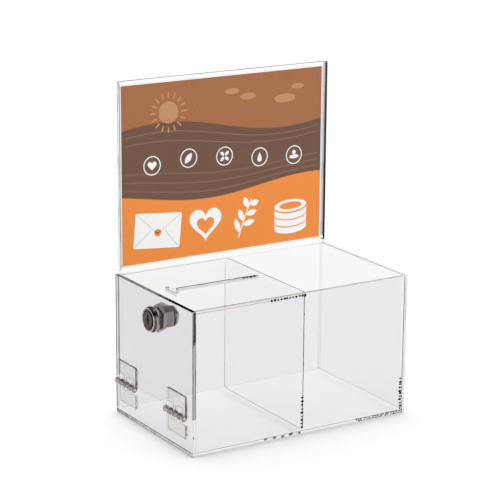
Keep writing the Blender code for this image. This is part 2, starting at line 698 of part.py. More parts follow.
def build_spring(name, along, material):
    """A small upright coil spring, one unbroken wire."""
    wire_radius = SPRING_WIRE / 2
    low, high = spring_room()
    low, high = low + wire_radius, high - wire_radius
    count = SPRING_TURNS * SPRING_STEPS
    curve = bpy.data.curves.new(name + "_wire", "CURVE")
    curve.dimensions = "3D"
    curve.bevel_depth = wire_radius
    curve.bevel_resolution = 0
    curve.use_fill_caps = True
    spline = curve.splines.new("POLY")
    spline.points.add(count)
    for step, point in enumerate(spline.points):
        turn = 2 * math.pi * step / SPRING_STEPS
        x = along + SPRING_RADIUS * math.cos(turn)
        y = LOCK_AXIS.y + lug_centre() + SPRING_RADIUS * math.sin(turn)
        point.co = (x, y, LOCK_AXIS.z + low + (high - low) * step / count, 1)
    drawn = bpy.data.objects.new(name + "_wire", curve)
    bpy.context.scene.collection.objects.link(drawn)
    bpy.context.view_layer.update()
    mesh = bpy.data.meshes.new_from_object(drawn.evaluated_get(bpy.context.evaluated_depsgraph_get()))
    bpy.data.objects.remove(drawn, do_unlink=True)
    mesh.name = name
    bm = bmesh.new()
    bm.from_mesh(mesh)
    bmesh.ops.remove_doubles(bm, verts=bm.verts, dist=MERGE)
    bm.to_mesh(mesh)
    bm.free()
    return add_object(name, mesh, material)


def stop_washer_outline():
    """The stop washer at rest, in Y and Z: a disc whose notch lets it turn past the housing's lug."""
    lug_half_angle = math.asin((STOP_LUG_WIDTH / 2 + GAP) / STOP_NOTCH_RADIUS)
    notch_end = -math.pi / 2 + lug_half_angle
    notch_start = -math.pi / 2 - LOCK_TURN - lug_half_angle
    centre = (LOCK_AXIS.y, LOCK_AXIS.z)
    rim = arc(centre, STOP_WASHER_RADIUS, notch_end, notch_start + 2 * math.pi, 2 * ARC_STEPS)
    return rim + arc(centre, STOP_NOTCH_RADIUS, notch_start + 2 * math.pi, notch_end + 2 * math.pi)


def cam_outline():
    """The cam at rest, in Y and Z: a round hub and an arm that points to the back."""
    side = math.pi / 2
    lean = math.asin(CAM_HALF_WIDTH / CAM_HUB_RADIUS)
    reach, half = CAM_LENGTH - CAM_CORNER, CAM_HALF_WIDTH - CAM_CORNER
    arm = [*arc((reach, -half), CAM_CORNER, -side, 0), *arc((reach, half), CAM_CORNER, 0, side)]
    hub = arc((0, 0), CAM_HUB_RADIUS, lean, 2 * math.pi - lean, 2 * ARC_STEPS)
    return [(y + LOCK_AXIS.y, z + LOCK_AXIS.z) for y, z in arm + hub]


def build_tail_stack(looks, lock_pivot):
    """What the plug's tail carries: stop washer, cam, spring washer and nut."""
    square = [rectangle(TAIL_SIDE + 2 * GAP, TAIL_SIDE + 2 * GAP)]
    round_hole = [circle(STUD_RADIUS + GAP)]
    washer_end = STOP_WASHER_START + STOP_WASHER_THICKNESS
    cam_washer_end = CAM_WASHER_START + CAM_WASHER_THICKNESS
    nut_end = CAM_NUT_START + CAM_NUT_THICKNESS
    pieces = (
        ("stop_washer", stop_washer_outline(), STOP_WASHER_START, washer_end, square),
        ("lock_cam", cam_outline(), CAM_START, CAM_END, square),
        ("cam_washer", circle(CAM_WASHER_RADIUS), CAM_WASHER_START, cam_washer_end, round_hole),
        ("cam_nut", hexagon(CAM_NUT_ACROSS_FLATS), CAM_NUT_START, nut_end, round_hole),
    )
    for name, outline, start, end, hole in pieces:
        piece = extruded(name, outline, start, end, ACROSS_X, looks["cam"], hole)
        carry(lock_pivot, piece)


def main():
    """Build every piece."""
    clear_scene()
    looks = finishes()
    door_pivot = pivot("door_pivot", HINGE_AXIS)
    lock_pivot = pivot("lock_pivot", LOCK_AXIS, door_pivot)
    build_case(looks)
    build_sign_holder(looks)
    build_hinges(looks, door_pivot)
    build_door(looks, door_pivot)
    build_lock_housing(looks, door_pivot)
    build_lock_nut(looks, door_pivot)
    build_plug(looks, lock_pivot)
    build_tumblers(looks, lock_pivot)
    build_tail_stack(looks, lock_pivot)


if __name__ == "__main__":
    main()
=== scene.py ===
"""Clear acrylic collection box with a folded sign holder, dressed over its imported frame.

Every sheet of the case is a plate with polished arrises, whose free edges, cemented joints and clear
faces have finishes of their own. The lock is turned metal, the hinges are moulded, and the card in the
holder carries a plain print of waves, leaves and coins. Lengths are in metres unless a name ends in mm.
"""

from __future__ import annotations

import logging
import math
from dataclasses import dataclass, field
from enum import Enum, IntEnum
from typing import Callable, Sequence

import bmesh
import bpy
import numpy as np
from mathutils import Matrix, Vector
from mathutils.geometry import tessellate_polygon

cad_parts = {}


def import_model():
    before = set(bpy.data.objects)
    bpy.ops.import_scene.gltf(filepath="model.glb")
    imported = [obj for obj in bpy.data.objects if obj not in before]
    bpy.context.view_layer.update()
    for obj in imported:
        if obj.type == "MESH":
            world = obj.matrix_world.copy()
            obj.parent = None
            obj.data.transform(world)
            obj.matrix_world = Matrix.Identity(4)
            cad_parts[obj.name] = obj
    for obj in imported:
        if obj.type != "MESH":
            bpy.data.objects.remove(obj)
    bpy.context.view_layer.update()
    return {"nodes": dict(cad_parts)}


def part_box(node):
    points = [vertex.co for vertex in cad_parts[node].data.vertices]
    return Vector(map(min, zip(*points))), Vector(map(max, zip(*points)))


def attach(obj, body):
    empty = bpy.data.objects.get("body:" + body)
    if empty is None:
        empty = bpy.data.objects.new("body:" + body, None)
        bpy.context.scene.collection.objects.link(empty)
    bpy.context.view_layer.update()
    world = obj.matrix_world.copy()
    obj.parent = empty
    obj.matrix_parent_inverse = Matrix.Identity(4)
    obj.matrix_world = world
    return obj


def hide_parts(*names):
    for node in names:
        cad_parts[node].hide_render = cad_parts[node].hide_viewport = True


LOG = logging.getLogger("collection_box")
MM = 0.001
WELD = 0.0005 * MM
SHARP_ANGLE = math.radians(32)
QUARTER = math.pi / 2
FULL_TURN = 2 * math.pi
WHITE = (1.0, 1.0, 1.0, 1.0)
# Nearly all levels of the noise lie between the first and the sum of the two
NOISE_LOW = 0.28
NOISE_SPAN = 0.44
# A side faces a way where the cosine between the two passes one of these
SQUARE_ON = 0.9
SLANTED = 0.3

Nodes = dict[str, bpy.types.Object]
# Gives the places of a rim's lower arris, wall and higher arris from the ways that its sides look in
Rule = Callable[[np.ndarray], tuple]


class Axis(IntEnum):
    """The axis that a sheet is thin along."""

    X = 0
    Y = 1
    Z = 2


class Side(Enum):
    """An edge of a sheet, by the direction that it looks in."""

    LEFT = (-1, 0, 0)
    RIGHT = (1, 0, 0)
    FRONT = (0, -1, 0)
    BACK = (0, 1, 0)
    UNDER = (0, 0, -1)
    TOP = (0, 0, 1)


class Place(IntEnum):
    """The finishes of a sheet: its face, its cut or cemented edges, and the rims beside them."""

    FACE = 0
    BOND = 1
    FAINT = 2
    LINE = 3
    BRIGHT = 4
    PALE = 5
    HATCHED = 6
    DARK = 7
    BLACK_SHADE = 8
    GREY_RIM = 9
    BLACK_RIM = 10


class Edge(Enum):
    """An edge of a sheet, as its rim on the lower side, its wall and its rim on the higher side."""

    HIDDEN = (Place.FACE, Place.BOND, Place.FACE)
    LOW_LINE = (Place.LINE, Place.BOND, Place.FACE)
    LOW_SEAM = (Place.BLACK_RIM, Place.BOND, Place.FACE)
    HIGH_SEAM = (Place.FACE, Place.BRIGHT, Place.BLACK_RIM)
    HIGH_FAINT = (Place.FACE, Place.BOND, Place.FAINT)
    HIGH_LINE = (Place.FACE, Place.BOND, Place.LINE)
    CLEAN = (Place.FAINT, Place.BRIGHT, Place.FAINT)
    END_FOOT = (Place.BLACK_RIM, Place.HATCHED, Place.GREY_RIM)
    INNER = (Place.FAINT, Place.BRIGHT, Place.LINE)
    SAWN = (Place.GREY_RIM, Place.PALE, Place.GREY_RIM)
    SAWN_LOW = (Place.GREY_RIM, Place.PALE, Place.FAINT)
    CORNER = (Place.BLACK_RIM, Place.FAINT, Place.FAINT)
    TOP_LINE = (Place.FAINT, Place.LINE, Place.GREY_RIM)
    DARK_MIRRORED = (Place.GREY_RIM, Place.DARK, Place.GREY_RIM)
    BLACK_SHADED = (Place.BLACK_RIM, Place.BLACK_SHADE, Place.BLACK_RIM)


def srgb(code: str) -> tuple[float, float, float, float]:
    """Turn an sRGB hex colour to linear by the standard's curve.

    Args:
        code: Six hex digits after a hash sign.

    Returns:
        Linear red, green and blue, and an alpha of one.
    """
    levels = np.array([int(code[place : place + 2], 16) for place in (1, 3, 5)]) / 255
    linear = np.where(levels <= 0.04045, levels / 12.92, ((levels + 0.055) / 1.055) ** 2.4)
    return (*linear.tolist(), 1.0)


def add_node(
    tree: bpy.types.NodeTree, kind: str, settings: dict | None = None, links: dict | None = None
) -> bpy.types.Node:
    """Add one shader node.

    Args:
        tree: The node tree.
        kind: The node's type, without its ShaderNode prefix.
        settings: Values by input name or place, or by property name.
        links: Output sockets by the input name or place that they feed.

    Returns:
        The new node.
    """
    node = tree.nodes.new("ShaderNode" + kind)
    for name, value in (settings or {}).items():
        if isinstance(name, str) and hasattr(node, name):
            setattr(node, name, value)
        else:
            node.inputs[name].default_value = value
    for name, socket in (links or {}).items():
        tree.links.new(socket, node.inputs[name])
    return node


def new_material(name: str) -> tuple[bpy.types.Material, bpy.types.NodeTree, bpy.types.NodeSocket]:
    """Start a material with nothing but its output node.

    Args:
        name: The material's name.

    Returns:
        The material, its tree and the input that takes its surface.
    """
    material = bpy.data.materials.new(name)
    material.use_nodes = True
    tree = material.node_tree
    tree.nodes.clear()
    return material, tree, add_node(tree, "OutputMaterial").inputs["Surface"]


def add_grain(tree: bpy.types.NodeTree, size_mm: Sequence[float], detail: float) -> bpy.types.NodeSocket:
    """Add noise on Object coordinates, whose scale along an axis is one over the grain's real size.

    Args:
        tree: The node tree.
        size_mm: The grain's size along X, Y and Z.
        detail: How many finer layers the noise has.

    Returns:
        The noise's level.
    """
    place = add_node(tree, "TexCoord")
    scale = tuple(1 / (size * MM) for size in size_mm)
    mapped = add_node(tree, "Mapping", {"Scale": scale}, {"Vector": place.outputs["Object"]})
    noise = add_node(tree, "TexNoise", {"Scale": 1.0, "Detail": detail}, {"Vector": mapped.outputs[0]})
    return noise.outputs["Fac"]


def add_light_way(
    tree: bpy.types.NodeTree, seen: bpy.types.NodeSocket, passed: bpy.types.NodeSocket
) -> bpy.types.NodeSocket:
    """Let light pass one shader on its way to other things, where the eye meets another.

    Args:
        tree: The node tree.
        seen: The shader that is looked at.
        passed: The shader that shadow rays and light from other surfaces pass.

    Returns:
        The shader that does both.
    """
    path = add_node(tree, "LightPath")
    for ray in ("Is Shadow Ray", "Is Diffuse Ray"):
        seen = add_node(tree, "MixShader", None, {0: path.outputs[ray], 1: seen, 2: passed}).outputs[0]
    return seen


@dataclass(frozen=True)
class ClearFace:
    """The glossy face of cast acrylic, PMMA, or of the same plastic moulded.

    It shows what is behind it almost unchanged, a little greyer at a slant, under a faint reflection.
    """

    name: str = "cast_acrylic_face"
    tint: str = "#FAFAFA"
    mirror: str = "#B4B4B6"
    normal_share: float = 0.02
    slant_share: float = 0.3
    slant_power: float = 4.0
    roughness: float = 0.02
    foot: str | None = None
    foot_mm: float = 29.0
    foot_dark_share: float = 1 / 3

    def build(self) -> bpy.types.Material:
        """Build a tinted see-through layer under a reflection that grows as a power of the slant.

        Light on its way to what is behind the sheet passes a clearer layer, as in a real box, whose
        walls send it on from face to face.

        Returns:
            The material.
        """
        material, tree, surface = new_material(self.name)
        slant = add_node(tree, "LayerWeight", {"Blend": 0.5})
        power = {"operation": "POWER", 1: self.slant_power}
        steep = add_node(tree, "Math", power, {0: slant.outputs["Facing"]})
        shares = {"To Min": self.normal_share, "To Max": self.slant_share}
        share = add_node(tree, "MapRange", shares, {"Value": steep.outputs[0]})
        clear = add_node(tree, "BsdfTransparent", {"Color": srgb(self.tint)})
        gloss = add_node(tree, "BsdfGlossy", {"Color": srgb(self.mirror), "Roughness": self.roughness})
        layers = {0: share.outputs[0], 1: clear.outputs[0], 2: gloss.outputs[0]}
        seen = add_node(tree, "MixShader", None, layers)
        passed = add_node(tree, "BsdfTransparent", {"Color": WHITE})
        if self.foot:
            tree.links.new(self.add_foot(tree), passed.inputs["Color"])
        tree.links.new(add_light_way(tree, seen.outputs[0], passed.outputs[0]), surface)
        return material

    def add_foot(self, tree: bpy.types.NodeTree) -> bpy.types.NodeSocket:
        """Add what the foot of a wall lets out of the box, which is the box's soft shadow.

        It is the foot's colour low down, a smooth step of the height up to white, and white inwards.

        Args:
            tree: The material's node tree.

        Returns:
            The colour.
        """
        place = add_node(tree, "TexCoord")
        height = add_node(tree, "SeparateXYZ", None, {0: place.outputs["Object"]})
        side = add_node(tree, "NewGeometry")
        top = self.foot_mm * MM
        step = {"interpolation_type": "SMOOTHSTEP", "From Min": top * self.foot_dark_share, "From Max": top}
        above = add_node(tree, "MapRange", step, {"Value": height.outputs["Z"]})
        ways = {0: above.outputs[0], 1: side.outputs["Backfacing"]}
        is_open = add_node(tree, "Math", {"operation": "MAXIMUM"}, ways)
        colors = {"data_type": "RGBA", 6: srgb(self.foot), 7: WHITE}
        return add_node(tree, "Mix", colors, {0: is_open.outputs[0]}).outputs[2]


@dataclass(frozen=True)
class CutEdge:
    """The sawn and flame-polished edge of an acrylic sheet.

    Its colour is painted light and shade: pale for the light that the sheet pipes to it, with darker
    streaks that run with the sheet, painted shade where the edge bends light away from the eye. The
    streaks are drawn coarser than the real ones so that they show.
    """

    name: str
    light: str
    dark: str
    dark_share: float
    cover: float
    streak_mm: tuple[float, float, float] = (20.0, 20.0, 0.9)
    roughness: float = 0.25
    softness: float = 0.12
    sheen: float = 0.5
    dark_near_mm: tuple[float, float, float] | None = None
    dark_reach_mm: float = 90.0
    dark_pull: float = 0.5
    far_lift: float = 0.1
    shade: str | None = None

    def build(self) -> bpy.types.Material:
        """Build streaks of noise, cut at the level that makes their share dark, over a clear layer.

        Returns:
            The material.
        """
        material, tree, surface = new_material(self.name)
        level = add_grain(tree, self.streak_mm, 3.0)
        if self.dark_near_mm:
            level = self.add_pull(tree, level)
        middle = NOISE_LOW + NOISE_SPAN * self.dark_share
        cut = {"From Min": middle - self.softness / 2, "From Max": middle + self.softness / 2}
        streak = add_node(tree, "MapRange", cut, {"Value": level})
        colors = {"data_type": "RGBA", 6: srgb(self.dark), 7: srgb(self.light)}
        color = add_node(tree, "Mix", colors, {0: streak.outputs[0]})
        gloss = {"Roughness": self.roughness, "IOR": 1.49, "Specular IOR Level": self.sheen}
        skin = add_node(tree, "BsdfPrincipled", gloss, {"Base Color": color.outputs[2]})
        clear = add_node(tree, "BsdfTransparent")
        layers = {1: clear.outputs[0], 2: skin.outputs[0]}
        seen = add_node(tree, "MixShader", {0: self.cover}, layers).outputs[0]
        if self.shade:
            passed = add_node(tree, "BsdfTransparent", {"Color": srgb(self.shade)})
            seen = add_light_way(tree, seen, passed.outputs[0])
        tree.links.new(seen, surface)
        return material

    def add_pull(self, tree: bpy.types.NodeTree, level: bpy.types.NodeSocket) -> bpy.types.NodeSocket:
        """Close the dark streaks up towards a corner: the level falls with nearness to it.

        Args:
            tree: The material's node tree.
            level: The noise's level.

        Returns:
            The level with its fall.
        """
        place = add_node(tree, "TexCoord")
        corner = {"operation": "DISTANCE", 1: Vector(self.dark_near_mm) * MM}
        gap = add_node(tree, "VectorMath", corner, {0: place.outputs["Object"]})
        fall = {"From Max": self.dark_reach_mm * MM, "To Min": -self.dark_pull, "To Max": self.far_lift}
        shift = add_node(tree, "MapRange", fall, {"Value": gap.outputs["Value"]})
        return add_node(tree, "Math", {"operation": "ADD"}, {0: level, 1: shift.outputs[0]}).outputs[0]


@dataclass(frozen=True)
class Metal:
    """A bare or plated metal.

    The grain of its last working is a slight change of colour, roughness and height. It is drawn
    coarser than the real one so that it shows.
    """

    name: str
    color: str
    worn: str
    roughness: float
    grain_mm: tuple[float, float, float]
    bump: float
    height_mm: float = 0.05
    smooth_share: float = 0.7
    rough_share: float = 1.4

    def build(self) -> bpy.types.Material:
        """Build the finish, whose colour, roughness and height all follow one noise.

        Returns:
            The material.
        """
        material, tree, surface = new_material(self.name)
        level = add_grain(tree, self.grain_mm, 4.0)
        colors = {"data_type": "RGBA", 6: srgb(self.color), 7: srgb(self.worn)}
        color = add_node(tree, "Mix", colors, {0: level})
        low, high = self.roughness * self.smooth_share, self.roughness * self.rough_share
        rough = add_node(tree, "MapRange", {"To Min": low, "To Max": high}, {"Value": level})
        relief = {"Strength": self.bump, "Distance": self.height_mm * MM}
        bump = add_node(tree, "Bump", relief, {"Height": level})
        feeds = {"Base Color": color.outputs[2], "Roughness": rough.outputs[0], "Normal": bump.outputs[0]}
        skin = add_node(tree, "BsdfPrincipled", {"Metallic": 1.0}, feeds)
        tree.links.new(skin.outputs[0], surface)
        return material


@dataclass(frozen=True)
class Paper:
    """Coated card or one of its printing inks. Fibre shows as a very slight mottle under a satin sheen."""

    name: str
    color: str
    mottle: float = 0.03
    fibre_mm: float = 1.2
    roughness: float = 0.5
    ior: float = 1.45

    def build(self) -> bpy.types.Material:
        """Build the finish with a mottle of noise, drawn coarser than real fibre so that it shows.

        Returns:
            The material.
        """
        material, tree, surface = new_material(self.name)
        level = add_grain(tree, (self.fibre_mm,) * 3, 2.0)
        spread = {"To Min": 1 - self.mottle, "To Max": 1 + self.mottle}
        value = add_node(tree, "MapRange", spread, {"Value": level})
        color = add_node(tree, "HueSaturation", {"Color": srgb(self.color)}, {"Value": value.outputs[0]})
        gloss = {"Roughness": self.roughness, "IOR": self.ior}
        skin = add_node(tree, "BsdfPrincipled", gloss, {"Base Color": color.outputs[0]})
        tree.links.new(skin.outputs[0], surface)
        return material


class Surface:
    """Patches of one mesh: points, faces and the material place of each face."""

    def __init__(self) -> None:
        """Start with no patches."""
        self.points: list[np.ndarray] = []
        self.faces: list[list[int]] = []
        self.places: list[int] = []
        self.count = 0

    def add(self, points: np.ndarray, faces: np.ndarray, place: np.ndarray | int = 0) -> None:
        """Add a patch.

        Args:
            points: Its points, one row each.
            faces: Its faces as rows of indices into these points.
            place: The material place of each face, or one for all.
        """
        points = np.asarray(points, dtype=float).reshape(-1, 3)
        faces = np.asarray(faces, dtype=int)
        self.points.append(points)
        self.faces.extend((faces + self.count).tolist())
        self.places.extend(np.broadcast_to(np.asarray(place), len(faces)).tolist())
        self.count += len(points)

    def grid(
        self, points: np.ndarray, place: np.ndarray | int = 0, wrap: tuple[bool, bool] = (False, True)
    ) -> None:
        """Add a patch whose points are a function of two parameters.

        Args:
            points: An array of rows by columns by three.
            place: The material place of each quad, as an array of quads, or one for all.
            wrap: Whether the last row joins the first, and the last column the first.
        """
        rows, columns = points.shape[:2]
        ids = np.arange(rows * columns).reshape(rows, columns)
        if wrap[0]:
            ids = np.vstack([ids, ids[:1]])
        if wrap[1]:
            ids = np.hstack([ids, ids[:, :1]])
        quads = np.stack([ids[:-1, :-1], ids[1:, :-1], ids[1:, 1:], ids[:-1, 1:]], axis=-1)
        if not np.isscalar(place):
            place = np.broadcast_to(place, quads.shape[:2]).reshape(-1)
        self.add(points, quads.reshape(-1, 4), place)

    def pebble(self, centre: Sequence[float], half: Sequence[float], rings: int = 5) -> None:
        """Add a flattened ellipsoid: centre + half * (cos u cos v, cos u sin v, sin u).

        Args:
            centre: Its middle.
            half: Half its size along X, Y and Z.
            rings: How many rows of faces lie between its poles.
        """
        up = np.linspace(-QUARTER, QUARTER, rings + 1)[:, None]
        around = np.linspace(0, FULL_TURN, 2 * rings, endpoint=False)[None, :]
        level = np.sin(up) * np.ones_like(around)
        unit = np.stack([np.cos(up) * np.cos(around), np.cos(up) * np.sin(around), level], axis=-1)
        self.grid(np.asarray(centre) + unit * np.asarray(half))

    def piece(
        self,
        name: str,
        looks: Sequence[bpy.types.Material],
        body: str,
        stands_for: Sequence[str] = (),
    ) -> bpy.types.Object:
        """Make the patches one piece that rides on a body.

        Args:
            name: The piece's name.
            looks: Its materials, in the order of their places; those of no face are left out.
            body: The body that it moves with.
            stands_for: The CAD nodes that it replaces.

        Returns:
            The new object.
        """
        mesh = bpy.data.meshes.new(name)
        mesh.from_pydata(np.concatenate(self.points).tolist(), [], self.faces)
        used, places = np.unique(self.places, return_inverse=True)
        mesh.polygons.foreach_set("material_index", places.reshape(-1).tolist())
        bm = bmesh.new()
        bm.from_mesh(mesh)
        bmesh.ops.remove_doubles(bm, verts=bm.verts, dist=WELD)
        bmesh.ops.recalc_face_normals(bm, faces=bm.faces)
        bm.to_mesh(mesh)
        bm.free()
        for place in used:
            mesh.materials.append(looks[place])
        mesh.shade_smooth()
        mesh.set_sharp_from_angle(angle=SHARP_ANGLE)
        obj = bpy.data.objects.new(name, mesh)
        bpy.context.scene.collection.objects.link(obj)
        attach(obj, body)
        if stands_for:
            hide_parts(*stands_for)
        LOG.info("%s: %d faces on %s", name, len(mesh.polygons), body)
        return obj


def dress(nodes: Nodes, names: Sequence[str], material: bpy.types.Material) -> None:
    """Give CAD nodes a finish.

    Args:
        nodes: The frame's nodes by name.
        names: The names of those that take it.
        material: The finish.
    """
    for name in names:
        mesh = nodes[name].data
        mesh.materials.clear()
        mesh.materials.append(material)
        LOG.info("%s: dressed with %s", name, material.name)


def normals_of(loop: np.ndarray) -> np.ndarray:
    """Turn the direction of each side of a counterclockwise loop left, which is inwards.

    Args:
        loop: Corners as rows of two.

    Returns:
        A unit row of two for each side.
    """
    step = np.roll(loop, -1, axis=0) - loop
    step = step / np.linalg.norm(step, axis=1, keepdims=True)
    return np.stack([-step[:, 1], step[:, 0]], axis=1)


def outward_of(loop: np.ndarray, is_hole: bool) -> np.ndarray:
    """The direction that each side of a rim looks in: out of an outline, and into a hole."""
    return normals_of(loop) if is_hole else -normals_of(loop)


def inset(loop: np.ndarray, inward: float) -> np.ndarray:
    """Move each corner of a counterclockwise loop inwards along the mitre of its two sides.

    Args:
        loop: Corners as rows of two.
        inward: How far the sides move in; below zero they move out.

    Returns:
        The moved corners.
    """
    after = normals_of(loop)
    before = np.roll(after, 1, axis=0)
    mitre = (after + before) / (1 + np.sum(after * before, axis=1, keepdims=True))
    return loop + inward * mitre


def arc(centre: Sequence[float], radius: float, start: float, end: float, steps: int = 12) -> np.ndarray:
    """Points of an arc between two angles, both ends included: centre + radius * (cos t, sin t)."""
    turn = np.linspace(start, end, steps + 1)
    return np.stack([centre[0] + radius * np.cos(turn), centre[1] + radius * np.sin(turn)], axis=1)


def circle(centre: Sequence[float], radius: float, steps: int = 48) -> np.ndarray:
    """A counterclockwise circle."""
    return arc(centre, radius, 0, FULL_TURN, steps)[:-1]


def rectangle(low: Sequence[float], high: Sequence[float], corner: float = 0.0) -> np.ndarray:
    """Draw a counterclockwise rectangle, with its corners cut off at 45 degrees.

    Args:
        low: Its lower left corner.
        high: Its upper right corner.
        corner: How far each corner is cut off along both its sides.

    Returns:
        Corners as rows of two.
    """
    (x0, y0), (x1, y1), c = low, high, corner
    if not c:
        return np.array([(x0, y0), (x1, y0), (x1, y1), (x0, y1)])
    lower = [(x0 + c, y0), (x1 - c, y0), (x1, y0 + c)]
    return np.array([*lower, (x1, y1 - c), (x1 - c, y1), (x0 + c, y1), (x0, y1 - c), (x0, y0 + c)])


def round_slot(low: Sequence[float], high: Sequence[float]) -> np.ndarray:
    """Draw a slot as two half circles, at the ends of whichever of its two axes is longer.

    Args:
        low: The lower left corner of the rectangle round it.
        high: The upper right corner.

    Returns:
        Points as rows of two, counterclockwise.
    """
    width, depth = high[0] - low[0], high[1] - low[1]
    radius = min(width, depth) / 2
    if width > depth:
        middle = (low[1] + high[1]) / 2
        right = arc((high[0] - radius, middle), radius, -QUARTER, QUARTER)
        return np.vstack([right, arc((low[0] + radius, middle), radius, QUARTER, 3 * QUARTER)])
    middle = (low[0] + high[0]) / 2
    far = arc((middle, high[1] - radius), radius, 0, math.pi)
    return np.vstack([far, arc((middle, low[1] + radius), radius, math.pi, FULL_TURN)])


def double_d(centre: Sequence[float], radius: float, flat: float) -> np.ndarray:
    """Draw a circle with a flat on each side, where |first - centre| is at most flat.

    Args:
        centre: Its middle.
        radius: Its radius.
        flat: How far the flats are from the middle.

    Returns:
        Points as rows of two.
    """
    loop = circle(centre, radius, 96)
    loop[:, 0] = np.clip(loop[:, 0], centre[0] - flat, centre[0] + flat)
    return loop


@dataclass
class Plate:
    """A flat outline with holes, given thickness along one axis, with a small arris along every rim when one
    is given.

    A rail is a strip of the wall beside an arris, which takes the arris's finish. The one at the low side
    is as wide as the other unless near_rail says otherwise.
    """

    outer: np.ndarray
    low: float
    high: float
    across: Axis
    holes: tuple[np.ndarray, ...] = ()
    arris: float = 0.0
    rail: float = 0.0
    near_rail: float | None = None

    def lift(self, flat: np.ndarray, along: float) -> np.ndarray:
        """Put a loop of the outline's two axes at a height along the third.

        Args:
            flat: Points as rows of two.
            along: The height.

        Returns:
            Points as rows of three.
        """
        others = [axis for axis in range(3) if axis != self.across]
        points = np.full((len(flat), 3), float(along))
        points[:, others] = flat
        return points

    def rim(self, loop: np.ndarray, inward: float) -> np.ndarray:
        """Carry a loop round the plate's edge: face, wall, wall, face, with a rail beside each arris.

        Args:
            loop: The outline, or a hole's.
            inward: How far its arris goes in, which is below zero for a hole.

        Returns:
            Rows of points, one for each height.
        """
        if not self.arris:
            return np.stack([self.lift(loop, self.low), self.lift(loop, self.high)])
        inner = inset(loop, inward)
        start, end = self.low + self.arris, self.high - self.arris
        near = self.rail if self.near_rail is None else self.near_rail
        walls = [start, start + near, end - self.rail, end] if self.rail else [start, end]
        rows = [self.lift(loop, along) for along in walls]
        return np.stack([self.lift(inner, self.low), *rows, self.lift(inner, self.high)])

    def add_to(
        self,
        surface: Surface,
        cap: tuple[int, int] = (0, 0),
        rim_places: Rule | None = None,
        hole_places: Rule | None = None,
    ) -> None:
        """Add the plate to a surface.

        Args:
            surface: The surface that takes it.
            cap: The material places of its lower and higher face.
            rim_places: Gives the places of the outer rim's lower arris, wall and higher arris, each as one
                number or an array, from the directions that its sides look in.
            hole_places: The same for the rim of a hole.
        """
        rims = []
        loops = [(self.outer, self.arris, rim_places)]
        loops += [(hole, -self.arris, hole_places) for hole in self.holes]
        for loop, inward, places in loops:
            rows = self.rim(loop, inward)
            rims.append(rows)
            low, wall, high = places(outward_of(loop, inward < 0)) if places else (0, 0, 0)
            # A rim has two rows without an arris, four with one and six with rails too
            rails = (len(rows) - 4) // 2
            bands = [wall] if len(rows) == 2 else [low] * (1 + rails) + [wall] + [high] * (1 + rails)
            surface.grid(rows, np.stack([np.broadcast_to(band, rows.shape[1]) for band in bands]))
        flat = [axis for axis in range(3) if axis != self.across]
        for row, place in zip((0, -1), cap):
            ends = [rows[row] for rows in rims]
            drawn = [[Vector((*point[flat], 0)) for point in loop] for loop in ends]
            surface.add(np.concatenate(ends), np.array(tessellate_polygon(drawn)), place)


class Face(Enum):
    """The clear faces of the sheets, each as its finish."""

    # Cast sheet is all but clear, with a faint mirror of the room that grows at a slant
    WALL = ClearFace()
    # The outer faces of the front and the strip let little light out low down, as the box's shadow
    FRONT = ClearFace("cast_acrylic_front_face", "#F9F8FA", foot="#050505")
    STRIP = ClearFace("cast_acrylic_strip_face", "#F5F4F5", foot="#202020", foot_mm=18.0)
    # The door, like the strip under it, is tinted a shade greyer than the walls, painted shade of the dark
    # surroundings that their faces mirror
    DOOR = ClearFace("door_acrylic_face", "#F5F4F5")
    # A face inside the box, or of a thin sheet, adds hardly any grey or reflection
    INNER = ClearFace("inner_acrylic_face", "#FEFEFE", normal_share=0.01, slant_share=0.06)
    THIN = ClearFace("thin_acrylic_face", "#FEFEFE", normal_share=0.01)


